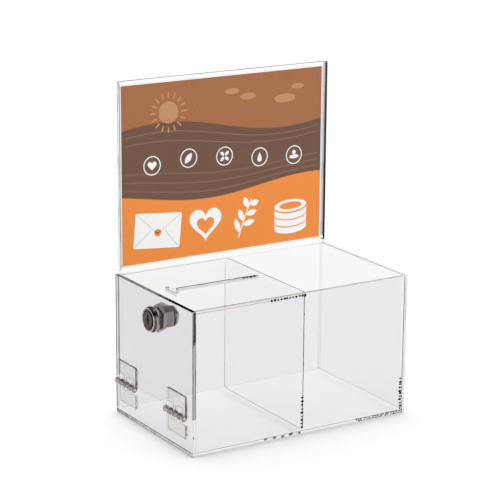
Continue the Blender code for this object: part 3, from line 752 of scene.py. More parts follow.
@dataclass
class AcrylicShop:
    """The finishes that the sheets share, each made when it is first asked for.

    Fine streaks run along a sheet's edge and broad patches lie on it, as the grain of its painted light and
    shade.
    """

    streak_mm: float = 22.0
    streak_across_mm: float = 1.1
    patch_mm: float = 16.0
    patch_across_mm: float = 6.0
    door_corner_mm: tuple[float, float, float] = (-145.0, -88.75, 168.4)
    floor_corner_mm: tuple[float, float, float] = (-145.0, 88.75, 2.4)
    made: dict[str, bpy.types.Material] = field(default_factory=dict)

    def make(self, finish: ClearFace | CutEdge) -> bpy.types.Material:
        """Make a finish, or give the material that was made of it before.

        Args:
            finish: The finish.

        Returns:
            Its material.
        """
        if finish.name not in self.made:
            self.made[finish.name] = finish.build()
        return self.made[finish.name]

    def edges(self, across: Axis, is_door: bool) -> list[CutEdge]:
        """Give the finishes of a sheet's edges in the order of their places, after the face.

        Args:
            across: The axis that the sheet is thin along, which its streaks don't follow.
            is_door: Whether its painted dark streaks close up towards the door's top front corner.

        Returns:
            The finishes.
        """
        streak, patch = [self.streak_mm] * 3, [self.patch_mm] * 3
        streak[across], patch[across] = self.streak_across_mm, self.patch_across_mm
        fine, broad = tuple(streak), tuple(patch)
        # The edges of a level sheet let no light down, which keeps the box's shadow whole
        is_level = across == Axis.Z
        corner = self.door_corner_mm if is_door else None
        shade = "#0A0A0A" if is_level else None
        end = "_" + across.name.lower() + ("_door" if is_door else "")
        return [
            # Solvent cement leaves a joint almost as clear as the sheet
            CutEdge("cemented_edge", "#F4F4F5", "#B9B6B6", 0.3, 0.05),
            # The rims of a joint are painted as a thin grey line, painted shade where their arris bends
            # light away; the faint one is a lighter paint of the same line
            CutEdge("faint_joint_line" + end, "#B4B1B1", "#8A8686", 0.35, 0.3, shade=shade),
            CutEdge("joint_line" + end, "#8E8B8B", "#4F4B4A", 0.35, 0.6, shade=shade),
            # A flame-polished edge is bright with the light that the sheet pipes to it
            CutEdge("bright_edge" + end, "#FBFBFB", "#BDBABA", 0.2, 0.25, fine, shade=shade),
            # A sawn edge is frosted, pale grey with streaks along the sheet
            CutEdge("pale_edge" + end, "#DEDCDD", "#8A8686", 0.25, 0.65, fine),
            # A sawn edge on a dark joint shows the joint through it as hatching
            CutEdge(
                "hatched_edge" + end,
                "#DAD8D8",
                "#3B3635",
                dark_share=0.42,
                cover=0.9,
                streak_mm=(9.0, 2.4, 5.0),
                softness=0.16,
                sheen=0.2,
                dark_near_mm=self.floor_corner_mm if is_level else None,
                dark_reach_mm=110.0,
                dark_pull=0.07,
                shade=shade,
            ),
            # An edge that mirrors the dark inside of its own sheet is grey with black patches
            CutEdge(
                "dark_edge" + end,
                "#B5B4BA",
                "#171312",
                dark_share=0.2,
                cover=0.95,
                streak_mm=broad,
                softness=0.07,
                sheen=0.1,
                dark_near_mm=corner,
                dark_reach_mm=55.0,
            ),
            # Another is painted black in patches of a few millimetres, painted shade where the edge turns
            # all light away, as on the door's top
            CutEdge(
                "black_shade_edge" + end,
                "#A8A4A4",
                "#0C0909",
                dark_share=0.45,
                cover=1.0,
                streak_mm=(9.0, 2.8, 9.0),
                roughness=0.3,
                softness=0.16,
                sheen=0.0,
                dark_near_mm=corner,
                dark_reach_mm=85.0,
            ),
            # A rim bends light away from the eye, which draws it grey, or black on a deep edge
            CutEdge("grey_rim" + end, "#6F6B6B", "#2E2A29", 0.4, 0.9, broad, sheen=0.2, shade=shade),
            CutEdge(
                "black_rim" + end,
                "#3F3A39",
                "#060404",
                dark_share=0.5,
                cover=1.0,
                streak_mm=broad,
                roughness=0.3,
                softness=0.07,
                sheen=0.0,
                dark_near_mm=corner,
                shade=shade,
            ),
        ]

    def looks(self, faces: Sequence[Face], across: Axis, is_door: bool) -> list[bpy.types.Material]:
        """Give the materials of a sheet in the order of their places, with its outer face last.

        Args:
            faces: Its face, and its outer face where that differs.
            across: The axis that it is thin along.
            is_door: Whether it is the door.

        Returns:
            The materials.
        """
        finishes = [faces[0].value, *self.edges(across, is_door), faces[-1].value]
        return [self.make(finish) for finish in finishes]


@dataclass
class Sheet:
    """An acrylic sheet of the box. Its corners are those of the CAD node that it stands for.

    An edge that isn't named is hidden in a joint. The rail is the line beside each arris.
    """

    shop: AcrylicShop
    node: str
    edges: dict[Side, Edge]
    faces: tuple[Face, ...] = (Face.WALL,)
    outer: Side | None = None
    body: str = "case"
    holes: tuple[np.ndarray, ...] = ()
    hole_places: Rule | None = None
    arris_mm: float = 0.35
    rail_mm: float = 0.0

    def build(self) -> bpy.types.Object:
        """Make the sheet as a plate that is thin along its shortest side.

        Returns:
            Its object.
        """
        low, high = (np.array(corner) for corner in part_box(self.node))
        across = Axis(int(np.argmin(high - low)))
        flat = [axis for axis in range(3) if axis != across]
        arris = self.arris_mm * MM

        def rim_places(outward: np.ndarray) -> tuple:
            """Give a straight side its edge's places, and a cut corner a faint line.

            Args:
                outward: The direction that each side looks in.

            Returns:
                The places of the lower rims, the walls and the higher rims.
            """
            places = np.full((3, len(outward)), int(Place.FAINT))
            for side in Side:
                bands = self.edges.get(side, Edge.HIDDEN).value
                places[:, outward @ np.array(side.value)[flat] > SQUARE_ON] = np.array(bands)[:, None]
            return tuple(places)

        outline = rectangle(low[flat], high[flat], arris)
        plate = Plate(outline, low[across], high[across], across, self.holes, arris, self.rail_mm * MM)
        cap = [int(Place.FACE), int(Place.FACE)]
        if self.outer:
            cap[int(self.outer.value[across] > 0)] = len(Place)
        surface = Surface()
        plate.add_to(surface, tuple(cap), rim_places, self.hole_places)
        looks = self.shop.looks(self.faces, across, self.body == "door")
        return surface.piece(self.node + "_sheet", looks, self.body, (self.node,))


@dataclass
class Case:
    """The cemented case: floor, walls, divider, lid and the strip under the door."""

    shop: AcrylicShop
    cam_slot_mm: tuple[float, float, float, float] = (-122.0, -13.2, -117.4, 13.2)
    ballot_slot_mm: tuple[float, float, float, float] = (-114.2, -3.175, -4.22, 3.175)
    slot_end_cosine: float = 0.6

    def build(self) -> None:
        """Build the sheets of the case."""
        shop = self.shop
        left, right, front, back, under, top = Side
        edges = {left: Edge.END_FOOT, front: Edge.INNER}
        Sheet(shop, "bottom_panel", edges, (Face.INNER,), rail_mm=0.5).build()
        edges = {top: Edge.TOP_LINE}
        Sheet(shop, "front_panel", edges, (Face.WALL, Face.FRONT), front, rail_mm=0.3).build()
        edges = {right: Edge.LOW_SEAM, under: Edge.LOW_LINE, top: Edge.CLEAN}
        Sheet(shop, "back_panel", edges, rail_mm=0.3).build()
        edges = {front: Edge.SAWN_LOW, back: Edge.HIGH_FAINT, under: Edge.LOW_SEAM, top: Edge.TOP_LINE}
        Sheet(shop, "right_end_panel", edges, rail_mm=0.5).build()
        edges = {front: Edge.CLEAN, back: Edge.CORNER}
        Sheet(shop, "lower_end_strip", edges, (Face.WALL, Face.STRIP), left, rail_mm=0.9).build()
        edges = {front: Edge.HIGH_SEAM, back: Edge.LOW_LINE, under: Edge.LOW_SEAM}
        Sheet(shop, "divider_panel", edges, (Face.INNER,), rail_mm=0.7, arris_mm=0.7).build()
        self.build_lid()
        edges = {left: Edge.CLEAN, right: Edge.CLEAN}
        Sheet(shop, "sign_mount_strip", edges, (Face.THIN,), arris_mm=0.2).build()

    def slot_places(self, outward: np.ndarray) -> tuple:
        """Show a slot's back wall and left end as lines, and the rest hardly at all.

        Args:
            outward: The direction that each side looks in.

        Returns:
            The places of the lower rims, the walls and the higher rims.
        """
        seen = (outward[:, 1] < -SLANTED) | (outward[:, 0] > self.slot_end_cosine)
        pairs = ((Place.FAINT, Place.FACE), (Place.PALE, Place.BOND), (Place.GREY_RIM, Place.FAINT))
        return tuple(np.where(seen, int(shown), int(hidden)) for shown, hidden in pairs)

    def build_lid(self) -> None:
        """Build the lid with the cam's slot and the ballot slot."""
        slots = (self.cam_slot_mm, self.ballot_slot_mm)
        holes = [round_slot((x0 * MM, y0 * MM), (x1 * MM, y1 * MM)) for x0, y0, x1, y1 in slots]
        Sheet(
            self.shop,
            "top_panel",
            {Side.RIGHT: Edge.HIGH_SEAM, Side.FRONT: Edge.LOW_LINE, Side.BACK: Edge.HIGH_LINE},
            (Face.INNER,),
            holes=tuple(holes),
            hole_places=self.slot_places,
            arris_mm=0.45,
            rail_mm=0.4,
        ).build()


@dataclass
class Door:
    """The end door with the lock's double-D hole."""

    shop: AcrylicShop
    lock_height_mm: float = 137.5
    hole_radius_mm: float = 12.8
    hole_flat_mm: float = 9.5

    def hole_places(self, outward: np.ndarray) -> tuple:
        """The places of the hole's rims and wall, which are the same all round."""
        return int(Place.LINE), int(Place.PALE), int(Place.LINE)

    def build(self) -> None:
        """Build the door."""
        hole = double_d((0.0, self.lock_height_mm * MM), self.hole_radius_mm * MM, self.hole_flat_mm * MM)
        Sheet(
            self.shop,
            "door_panel",
            {Side.TOP: Edge.BLACK_SHADED, Side.FRONT: Edge.DARK_MIRRORED, Side.BACK: Edge.SAWN},
            (Face.DOOR,),
            body="door",
            holes=(hole,),
            hole_places=self.hole_places,
            rail_mm=0.9,
        ).build()


class LockLook(IntEnum):
    """The lock's finishes: plate, rim painted bright, face painted black, cut thread and cone painted dark.
    """

    PLATE = 0
    RIM = 1
    FACE = 2
    THREAD = 3
    CONE = 4


@dataclass
class Lock:
    """The cam lock. Its profile is turned about an axis along X through the door.

    A profile's rows are places along X, counted from the door's face into the box, and radii. The head's
    rows go round the flange, cone, crest and face, each with the look of the band that follows it.
    """

    nodes: Nodes
    axis_mm: tuple[float, float] = (0.0, 137.5)
    door_mm: float = -145.0
    barrel_radius_mm: float = 12.5
    barrel_flat_mm: float = 9.2
    barrel_reach_mm: float = 22.5
    thread_pitch_mm: float = 1.25
    thread_depth_mm: float = 0.35
    thread_span_mm: tuple[float, float] = (1.8, 0.8)
    neck_mm: float = 1.4
    relief_mm: float = 0.6
    bore_mm: float = 7.5
    head_bore_mm: float = 9.9
    head_depth_mm: float = -3.8
    head_lip_mm: float = -5.3
    groove_mm: tuple[float, float] = (2.9, 7.9)
    nut_flats_mm: float = 30.0
    nut_mm: tuple[float, float] = (-139.94, -134.94)
    nut_round_share: float = 0.97
    nut_chamfer: float = math.radians(28)
    nut_gap_mm: float = 0.2
    lug_mm: tuple[float, float, float, float] = (-1.5, 126.7, 1.5, 129.1)
    lug_span_mm: tuple[float, float] = (-123.4, -121.75)
    lug_corner_mm: float = 0.2
    lug_arris_mm: float = 0.15
    columns: int = 96
    tumblers: int = 4
    head_mm: tuple[tuple[float, float, LockLook], ...] = (
        (-0.3, 14.8, LockLook.PLATE),
        (-0.55, 15.1, LockLook.PLATE),
        (-0.9, 15.2, LockLook.PLATE),
        (-2.5, 15.2, LockLook.RIM),
        (-2.9, 15.1, LockLook.CONE),
        (-4.9, 14.25, LockLook.CONE),
        (-5.9, 13.8, LockLook.RIM),
        (-6.2, 13.5, LockLook.RIM),
        (-6.3, 13.2, LockLook.CONE),
        (-6.2, 12.9, LockLook.PLATE),
        (-5.85, 12.6, LockLook.PLATE),
        (-5.75, 12.2, LockLook.FACE),
        (-5.7, 10.4, LockLook.FACE),
        (-5.6, 10.0, LockLook.PLATE),
    )

    def turned(self, profile: np.ndarray, flats: np.ndarray) -> np.ndarray:
        """Turn a profile about the lock's axis: (along, r cos t, r sin t), with flats where asked.

        Args:
            profile: Rows of place along X and radius.
            flats: For each row, whether its sides are cut flat.

        Returns:
            Points in metres, profile rows by columns.
        """
        turn = np.linspace(0, FULL_TURN, self.columns, endpoint=False)
        radius = np.repeat(profile[:, 1:], self.columns, axis=1)
        radius[profile[:, 1] == self.bore_mm] = self.bore_radius(turn)
        across = radius * np.cos(turn)
        height = radius * np.sin(turn)
        cut = np.clip(across, -self.barrel_flat_mm, self.barrel_flat_mm)
        across = np.where(flats[:, None], cut, across)
        along = np.broadcast_to(profile[:, :1], across.shape)
        parts = [self.door_mm + along, self.axis_mm[0] + across, self.axis_mm[1] + height]
        return np.stack(parts, axis=-1) * MM

    def bore_radius(self, turn: np.ndarray) -> np.ndarray:
        """Work out the bore's radius, with flat grooves above and in front for the lifted tumblers.

        Inside a groove the radius is its reach over the cosine of the angle from the groove's middle.

        Args:
            turn: Angles about the axis.

        Returns:
            The radius at each of them, in millimetres.
        """
        half_width, reach = self.groove_mm
        radius = np.full_like(turn, self.bore_mm)
        for middle in (QUARTER, math.pi):
            facing = np.cos(turn - middle)
            is_groove = reach * np.abs(np.sin(turn - middle)) <= half_width * facing
            radius = np.where(is_groove, reach / np.maximum(facing, SLANTED), radius)
        return radius

    def thread(self) -> np.ndarray:
        """Work out the thread's profile, a triangle wave of its pitch and depth, with four rows a turn.

        Returns:
            Rows of place along X and radius.
        """
        start, lead = self.thread_span_mm
        turns = (self.barrel_reach_mm - start - lead) / self.thread_pitch_mm
        along = np.linspace(self.barrel_reach_mm - lead, start, int(round(turns)) * 4)
        wave = np.abs(((self.barrel_reach_mm - along) / self.thread_pitch_mm) % 1 - 0.5) * 2
        return np.stack([along, self.barrel_radius_mm - self.thread_depth_mm * wave], axis=1)

    def build_housing(self, looks: Sequence[bpy.types.Material]) -> None:
        """Build the flange and threaded barrel, and the lug that stops the turn.

        Args:
            looks: The lock's finishes in their order.
        """
        root = self.barrel_radius_mm - self.relief_mm
        start = np.array([(self.barrel_reach_mm, self.bore_mm), (self.barrel_reach_mm, root)])
        head = [row[:2] for row in self.head_mm]
        head += [
            (self.head_lip_mm, self.head_bore_mm),
            (self.head_depth_mm, self.head_bore_mm),
            (self.head_depth_mm, self.bore_mm),
        ]
        thread = self.thread()
        neck = [(self.neck_mm, root), (self.head_mm[0][0], root)]
        profile = np.vstack([start, thread, neck, head])
        first = len(start) + len(thread)
        flats = np.zeros(len(profile), dtype=bool)
        flats[1 : first + 1] = True
        place = np.full(len(profile), LockLook.PLATE)
        place[1:first] = LockLook.THREAD
        first += len(neck)
        place[first : first + len(self.head_mm)] = [row[2] for row in self.head_mm]
        surface = Surface()
        surface.grid(self.turned(profile, flats), place[:, None], (True, True))
        y0, z0, y1, z1 = (value * MM for value in self.lug_mm)
        near, far = (value * MM for value in self.lug_span_mm)
        end = rectangle((y0, z0), (y1, z1), self.lug_corner_mm * MM)
        lug = Plate(end, near, far, Axis.X, arris=self.lug_arris_mm * MM)
        lug.add_to(surface)
        surface.piece("lock_barrel_and_flange", looks, "door", ("lock_housing",))

    def build_nut(self, looks: Sequence[bpy.types.Material]) -> None:
        """Build the large nut: a hexagon whose corners are cut by a cone on both faces.

        A side of the hexagon is half the width over the cosine of the angle from the side's middle.

        Args:
            looks: The lock's finishes in their order.
        """
        turn = np.linspace(0, FULL_TURN, self.columns, endpoint=False)
        half = self.nut_flats_mm / 2
        corner = half / np.cos((turn - QUARTER) % (math.pi / 3) - math.pi / 6)
        face = np.full_like(turn, half * self.nut_round_share)
        bore = np.full_like(turn, self.barrel_radius_mm + self.nut_gap_mm)
        fall = (corner - face) * math.tan(self.nut_chamfer)
        start, end = (np.full_like(turn, place) for place in self.nut_mm)
        along = np.stack([start, start, start + fall, end - fall, end, end])
        radius = np.stack([bore, face, corner, corner, face, bore])
        across, height = radius * np.cos(turn), radius * np.sin(turn)
        points = np.stack([along, self.axis_mm[0] + across, self.axis_mm[1] + height], axis=-1)
        surface = Surface()
        surface.grid(points * MM, LockLook.PLATE, (True, True))
        surface.piece("lock_hex_nut", looks, "door", ("lock_nut",))

    def build(self) -> None:
        """Build the housing and nut, and dress the plug, tumblers, springs and cam."""
        cast, numbers = (3.0, 3.0, 3.0), range(1, self.tumblers + 1)
        looks = [
            # Dark chrome over die-cast zinc mirrors the room in deep grey
            Metal("dark_chrome_plate", "#989290", "#B2ACA9", 0.11, cast, 0.05).build(),
            # The rims are the same chrome painted brighter, a painted highlight of thin bright rings
            Metal("chrome_rim_painted_bright", "#D2CECB", "#DEDAD7", 0.05, cast, 0.05).build(),
            # Nickel round the keyway is painted almost black and a little soft, a painted reflection of the
            # dark room
            Metal("nickel_face_painted_black", "#221C19", "#2F2825", 0.2, (0.6, 2.0, 2.0), 0.1).build(),
            # A cut thread in zinc is a duller grey with tool marks
            Metal("cut_zinc_thread", "#7E7877", "#A8A2A0", 0.4, (0.9, 1.6, 1.6), 0.5).build(),
            # The flange's slope is the same chrome painted darker, a painted reflection of the dark room
            Metal("chrome_cone_painted_dark", "#4B4643", "#5A5451", 0.07, cast, 0.05).build(),
        ]
        # The plug is nickel with fine turning marks round it
        nickel = Metal("nickel_plug", "#372F2C", "#4E4643", 0.24, (0.6, 1.5, 1.5), 0.15).build()
        # Zinc plate on stamped steel keeps the rolling marks of the strip
        zinc = Metal("zinc_plated_steel", "#9C9A98", "#B9B7B5", 0.3, (4.0, 0.6, 4.0), 0.25).build()
        # Stamped brass is warm, with shear marks up its sides
        brass = Metal("stamped_brass", "#C39A55", "#D4B070", 0.28, (1.0, 1.0, 4.0), 0.2).build()
        # Drawn spring wire is a clean mid grey
        steel = Metal("spring_steel", "#8E8C8A", "#A5A3A1", 0.25, (1.0, 1.0, 1.0), 0.1).build()
        self.build_housing(looks)
        self.build_nut(looks)
        dress(self.nodes, ("lock_plug",), nickel)
        dress(self.nodes, [f"tumbler_{number}" for number in numbers], brass)
        dress(self.nodes, [f"tumbler_spring_{number}" for number in numbers], steel)
        dress(self.nodes, ("stop_washer", "lock_cam", "cam_washer", "cam_nut"), zinc)


class LeafLook(IntEnum):
    """A hinge leaf's finishes: face, seen edge, its arris, knuckle, faint rim and knuckle end."""

    FACE = 0
    EDGE = 1
    ARRIS = 2
    KNUCKLE = 3
    FAINT = 4
    RING = 5


@dataclass
class Hinges:
    """Two moulded hinges on steel pins, each with four knuckles."""

    nodes: Nodes
    axis_mm: tuple[float, float] = (-149.3, 43.3)
    spans_mm: tuple[tuple[str, float, float], ...] = (("front", -78.25, -35.75), ("back", 35.75, 78.25))
    plate_mm: tuple[float, float] = (-148.3, -145.3)
    arris_mm: float = 0.45
    knuckle_mm: float = 4.0
    knuckle_round_mm: float = 0.7
    bore_mm: float = 1.7
    reach_mm: float = 25.3
    root_mm: float = 8.5
    corner_mm: float = 2.6
    gap_mm: float = 0.3
    knuckles: int = 4

    def spans(self, low: float, high: float, kept: int) -> list[tuple[float, float]]:
        """Place a leaf's knuckles along Y: every other one of even shares, less half a gap at each joint.

        Args:
            low: The hinge's low end along Y.
            high: Its high end.
            kept: 0 or 1, the leaf's first knuckle as counted from the back.

        Returns:
            The low and high end of each.
        """
        pitch = (high - low) / self.knuckles
        return [
            (
                high - (number + 1) * pitch + (self.gap_mm / 2 if number < self.knuckles - 1 else 0.0),
                high - number * pitch - (self.gap_mm / 2 if number else 0.0),
            )
            for number in range(kept, self.knuckles, 2)
        ]

    def outline(self, low: float, high: float, kept: int, up: int) -> np.ndarray:
        """Draw a leaf in Y and Z: toothed along the pin, round at its free corners.

        Args:
            low: Its low end along Y.
            high: Its high end.
            kept: Its first knuckle.
            up: 1 where it stands up from the pin, and -1 where it hangs down.

        Returns:
            Points as rows of two in millimetres, counterclockwise from outside.
        """
        teeth = []
        for y_low, y_high in sorted(self.spans(low, high, kept)):
            teeth += [(y_low, self.root_mm), (y_low, 0.0), (y_high, 0.0), (y_high, self.root_mm)]
        if kept:
            teeth = teeth[1:] + [(high, self.root_mm)]
        else:
            teeth = [(low, self.root_mm), *teeth[:-1]]
        corner, reach = self.corner_mm, self.reach_mm - self.corner_mm
        near = arc((high - corner, reach), corner, 0, QUARTER, 8)
        far = arc((low + corner, reach), corner, QUARTER, math.pi, 8)
        loop = np.vstack([teeth, near, far]) * np.array([1, up]) + np.array([0, self.axis_mm[1]])
        return loop if up > 0 else loop[::-1]

    def barrel(self, low: float, high: float) -> np.ndarray:
        """Turn a knuckle about the pin, (x + r cos t, y, z + r sin t), with rounded rims and a bore.

        Args:
            low: Its low end along Y.
            high: Its high end.

        Returns:
            Points in millimetres, rows of its profile by columns.
        """
        radius, bore, soft = self.knuckle_mm, self.bore_mm, self.knuckle_round_mm
        rim = arc((0, 0), soft, 0, QUARTER, 5)
        start = np.stack([low + soft - rim[:, 0], radius - soft + rim[:, 1]], axis=1)
        end = np.stack([high - soft + rim[::-1, 0], radius - soft + rim[::-1, 1]], axis=1)
        profile = np.vstack([[(low, bore)], start, end, [(high, bore)]])
        turn = np.linspace(0, FULL_TURN, 40, endpoint=False)[None, :]
        across, height = profile[:, 1:] * np.cos(turn), profile[:, 1:] * np.sin(turn)
        along = np.broadcast_to(profile[:, :1], across.shape)
        return np.stack([self.axis_mm[0] + across, along, self.axis_mm[1] + height], axis=-1)

    def build_leaf(
        self, node: str, low: float, high: float, is_on_door: bool, looks: Sequence[bpy.types.Material]
    ) -> None:
        """Build one leaf with its knuckles.

        Args:
            node: The CAD node that it stands for.
            low: Its low end along Y.
            high: Its high end along Y.
            is_on_door: Whether it is the leaf on the door, and not the one on the strip.
            looks: Its finishes in their order.
        """
        kept, up = int(is_on_door), 1 if is_on_door else -1
        near, far = (value * MM for value in self.plate_mm)
        plate = Plate(self.outline(low, high, kept, up) * MM, near, far, Axis.X, arris=self.arris_mm * MM)

        def rim_places(outward: np.ndarray) -> tuple:
            """Show the front side and the door leaf's free end as thick dark edges.

            Args:
                outward: The direction that each side looks in.

            Returns:
                The places of the lower rims, the walls and the higher rims.
            """
            middle = (plate.outer + np.roll(plate.outer, -1, axis=0))[:, 0] / 2
            seen = (outward[:, 0] < -SLANTED) & (middle < (low + self.corner_mm) * MM)
            if is_on_door:
                seen |= outward[:, 1] > SLANTED
            rim = np.where(seen, LeafLook.ARRIS, LeafLook.FAINT)
            return rim, np.where(seen, LeafLook.EDGE, LeafLook.FACE), rim

        surface = Surface()
        plate.add_to(surface, (LeafLook.FACE, LeafLook.FACE), rim_places)
        for span in self.spans(low, high, kept):
            barrel = self.barrel(*span) * MM
            bands = np.full((len(barrel), 1), LeafLook.KNUCKLE)
            # The flat of each end and the steeper part of its rounded rim
            bands[[0, 1, 2, 3, -5, -4, -3, -2]] = LeafLook.RING
            surface.grid(barrel, bands, (True, True))
        body = "door" if is_on_door else "case"
        surface.piece(node + "_moulded", looks, body, (node,))

    def build(self) -> None:
        """Build the four leaves and dress the pins."""
        # Clear moulded acrylic: the plates hardly show, and the round knuckles gleam at their sides
        face = ClearFace("moulded_leaf_face", "#FCFBFA").build()
        knuckle = ClearFace(
            "moulded_knuckle", "#FAF7F7", "#F2EDEC", normal_share=0.08, slant_share=0.4, slant_power=2.0
        ).build()
        # Rims and ends of the moulding bend light away and show as grey lines and rings
        faint = CutEdge("moulded_rim", "#9A9695", "#5A5554", 0.4, 0.55, (6.0, 6.0, 6.0)).build()
        ring = CutEdge("moulded_knuckle_end", "#7A7271", "#2C2625", 0.45, 0.75, (4.0, 4.0, 4.0)).build()
        # The door leaf's side looks through its whole width, which makes it dark, with a darker arris
        flat = (4.0, 9.0, 9.0)
        door_edge = CutEdge("door_leaf_edge", "#A39F9E", "#4A4442", 0.5, 0.85, flat, sheen=0.2).build()
        door_arris = CutEdge("door_leaf_arris", "#37302F", "#0E0B0A", 0.5, 0.97, flat, sheen=0.1).build()
        # The strip leaf's side has light behind it and stays paler
        fine = (4.0, 4.0, 4.0)
        side = CutEdge("strip_leaf_edge", "#C9C5C4", "#3E3937", 0.42, 0.75, fine, softness=0.08).build()
        side_arris = CutEdge("strip_leaf_arris", "#5E5958", "#1E1A19", 0.5, 0.9, (4.0, 5.0, 5.0)).build()
        on_door = [face, door_edge, door_arris, knuckle, faint, ring]
        on_strip = [face, side, side_arris, knuckle, faint, ring]
        for place, low, high in self.spans_mm:
            self.build_leaf("door_hinge_leaf_" + place, low, high, True, on_door)
            self.build_leaf("fixed_hinge_leaf_" + place, low, high, False, on_strip)
        # Drawn steel wire, bright with fine lines along it
        pin = Metal("drawn_steel_wire", "#CFC9C8", "#E0DBDA", 0.45, (0.5, 6.0, 0.5), 0.2).build()
        dress(self.nodes, ("hinge_pin_front", "hinge_pin_back"), pin)


class HolderLook(IntEnum):
    """The sign holder's finishes, from its face to its far end."""

    FACE = 0
    CUT_END = 1
    LONG_EDGE = 2
    OUTER_RIM = 3
    INNER_RIM = 4
    FOLD = 5
    FAR_RIM = 6
    FAR_END = 7


@dataclass
class Holder:
    """The sign holder, one sheet folded over at the top with a narrow base."""

    shop: AcrylicShop
    front_mm: float = 84.25
    back_mm: float = 90.15
    bottom_mm: float = 171.4
    top_mm: float = 394.75
    sheet_mm: float = 2.4
    bend_mm: float = 0.5
    foot_gap_mm: float = 2.4
    ends_mm: tuple[float, float] = (-139.94, 145.0)
    arris_mm: float = 0.25
    far_rail_mm: float = 2.5
    near_rail_mm: float = 0.2
    leg_slack_mm: float = 0.3
    fold_line_mm: float = 1.0
    fold_cosine: float = 0.8

    def outline(self) -> np.ndarray:
        """Draw the folded sheet from its end: base, back leg, top fold and front leg, with round bends.

        Returns:
            Points in Y and Z as rows of two in millimetres, counterclockwise.
        """
        sheet = self.sheet_mm
        fold_outer = (self.back_mm - self.front_mm) / 2
        fold = (self.front_mm + fold_outer, self.top_mm - fold_outer)
        bend_outer = self.bend_mm + sheet
        bend = (self.front_mm + bend_outer, self.bottom_mm + bend_outer)
        floor = self.bottom_mm + sheet
        foot = floor + self.foot_gap_mm
        return np.vstack(
            [
                [(self.back_mm, self.bottom_mm), (self.back_mm, floor)],
                arc(bend, self.bend_mm, 3 * QUARTER, math.pi, 8),
                arc(fold, fold_outer - sheet, math.pi, 0, 16),
                [(self.back_mm - sheet, foot), (self.back_mm, foot)],
                arc(fold, fold_outer, 0, math.pi, 24),
                arc(bend, bend_outer, math.pi, 3 * QUARTER, 12),
            ]
        )

    def build(self) -> None:
        """Build the folded sheet, whose two ends are its cut edges."""
        near, far = (value * MM for value in self.ends_mm)
        widths = (self.arris_mm * MM, self.far_rail_mm * MM, self.near_rail_mm * MM)
        plate = Plate(self.outline() * MM, near, far, Axis.X, (), *widths)

        def rim_places(outward: np.ndarray) -> tuple:
            """Give the near end dark rims, the far end one dark line, and the fold a grey line.

            Args:
                outward: The direction that each side of the outline looks in.

            Returns:
                The places of the near rims, the walls and the far rims, which are the face elsewhere.
            """
            after = np.roll(plate.outer, -1, axis=0)
            side_mm = np.linalg.norm(after - plate.outer, axis=1) / MM
            depth_mm, height_mm = ((after + plate.outer) / 2 / MM).T
            is_cut = np.isclose(side_mm, self.sheet_mm, atol=0.01)
            is_front = depth_mm < self.front_mm + self.leg_slack_mm
            is_outer = is_front | (depth_mm > self.back_mm - self.leg_slack_mm)
            is_fold = (outward[:, 1] > self.fold_cosine) & (height_mm > self.top_mm - self.fold_line_mm)
            return (
                np.where(is_outer, HolderLook.OUTER_RIM, HolderLook.INNER_RIM),
                np.select([is_cut, is_fold], [HolderLook.LONG_EDGE, HolderLook.FOLD]),
                np.select([is_front, is_outer], [HolderLook.FAR_RIM, HolderLook.INNER_RIM]),
            )

        surface = Surface()
        plate.add_to(surface, (HolderLook.CUT_END, HolderLook.FAR_END), rim_places)
        short, tall, far_streak = (8.0, 8.0, 30.0), (8.0, 8.0, 40.0), (8.0, 8.0, 50.0)
        along = (40.0, 4.0, 4.0)
        looks = [
            self.shop.make(Face.THIN.value),
            # The near cut end glows a cool white, piped from the bright room
            CutEdge("holder_cut_end", "#DCE3E8", "#9AA2A9", 0.35, 0.9, short, sheen=0.3).build(),
            # Its long edges lie along the sight and hardly show
            CutEdge("holder_long_edge", "#F4F4F5", "#B9B6B6", 0.3, 0.05).build(),
            # The near end's rims are drawn as slate lines of painted shade, the inner one faint
            CutEdge("holder_outer_rim", "#757D83", "#3B4146", 0.45, 0.95, tall, sheen=0.1).build(),
            CutEdge("holder_inner_rim", "#C4CBD1", "#858D93", 0.3, 0.6, short, sheen=0.2).build(),
            # The heat-bent fold mirrors the room above as one grey line
            CutEdge("holder_fold_line", "#8E888C", "#5A5458", 0.4, 0.75, along, sheen=0.2).build(),
            # The far end looks back through the sheet's whole width, which makes it almost black
            CutEdge("holder_far_rim", "#2E363B", "#0A0E10", 0.5, 1.0, far_streak, sheen=0.1).build(),
            CutEdge("holder_far_end", "#4A5258", "#0F1417", 0.55, 0.88, far_streak, sheen=0.1).build(),
        ]
        surface.piece("folded_sign_holder", looks, "case", ("sign_holder",))


@dataclass(frozen=True)
class Wave:
    """One long sine across the print: level + swing * sin(2 pi * turns * share + start)."""

    level_mm: float
    swing_mm: float
    turns: float
    start: float

    def height(self, share: np.ndarray) -> np.ndarray:
        """Its height at each share of the print's width."""
        return self.level_mm + self.swing_mm * np.sin(share * FULL_TURN * self.turns + self.start)


def ribbon(line: np.ndarray, width: float) -> np.ndarray:
    """Draw a closed loop of even width along a line, half of it to each side of the line's slope.

    Args:
        line: Points as rows of two.
        width: Its width.

    Returns:
        Points as rows of two.
    """
    step = np.gradient(line, axis=0)
    side = np.stack([-step[:, 1], step[:, 0]], axis=1)
    side *= width / 2 / np.linalg.norm(side, axis=1, keepdims=True)
    return np.vstack([line - side, (line + side)[::-1]])


def heart(centre: Sequence[float], size: float) -> np.ndarray:
    """Draw a heart: 16 sin^3 t across and 13 cos t - 5 cos 2t - 2 cos 3t - cos 4t up, of 32 units.

    Args:
        centre: Its middle.
        size: Its width.

    Returns:
        Points as rows of two.
    """
    t = np.linspace(0, FULL_TURN, 48, endpoint=False)
    across = 16 * np.sin(t) ** 3
    up = 13 * np.cos(t) - 5 * np.cos(2 * t) - 2 * np.cos(3 * t) - np.cos(4 * t)
    return np.stack([-across, up + 2], axis=1) * size / 32 + np.asarray(centre)


def tilted(loop: np.ndarray, centre: Sequence[float], lean: float) -> np.ndarray:
    """A loop turned about a point by the rotation matrix of an angle."""
    turn = np.array([[math.cos(lean), -math.sin(lean)], [math.sin(lean), math.cos(lean)]])
    return (loop - np.asarray(centre)) @ turn.T + np.asarray(centre)


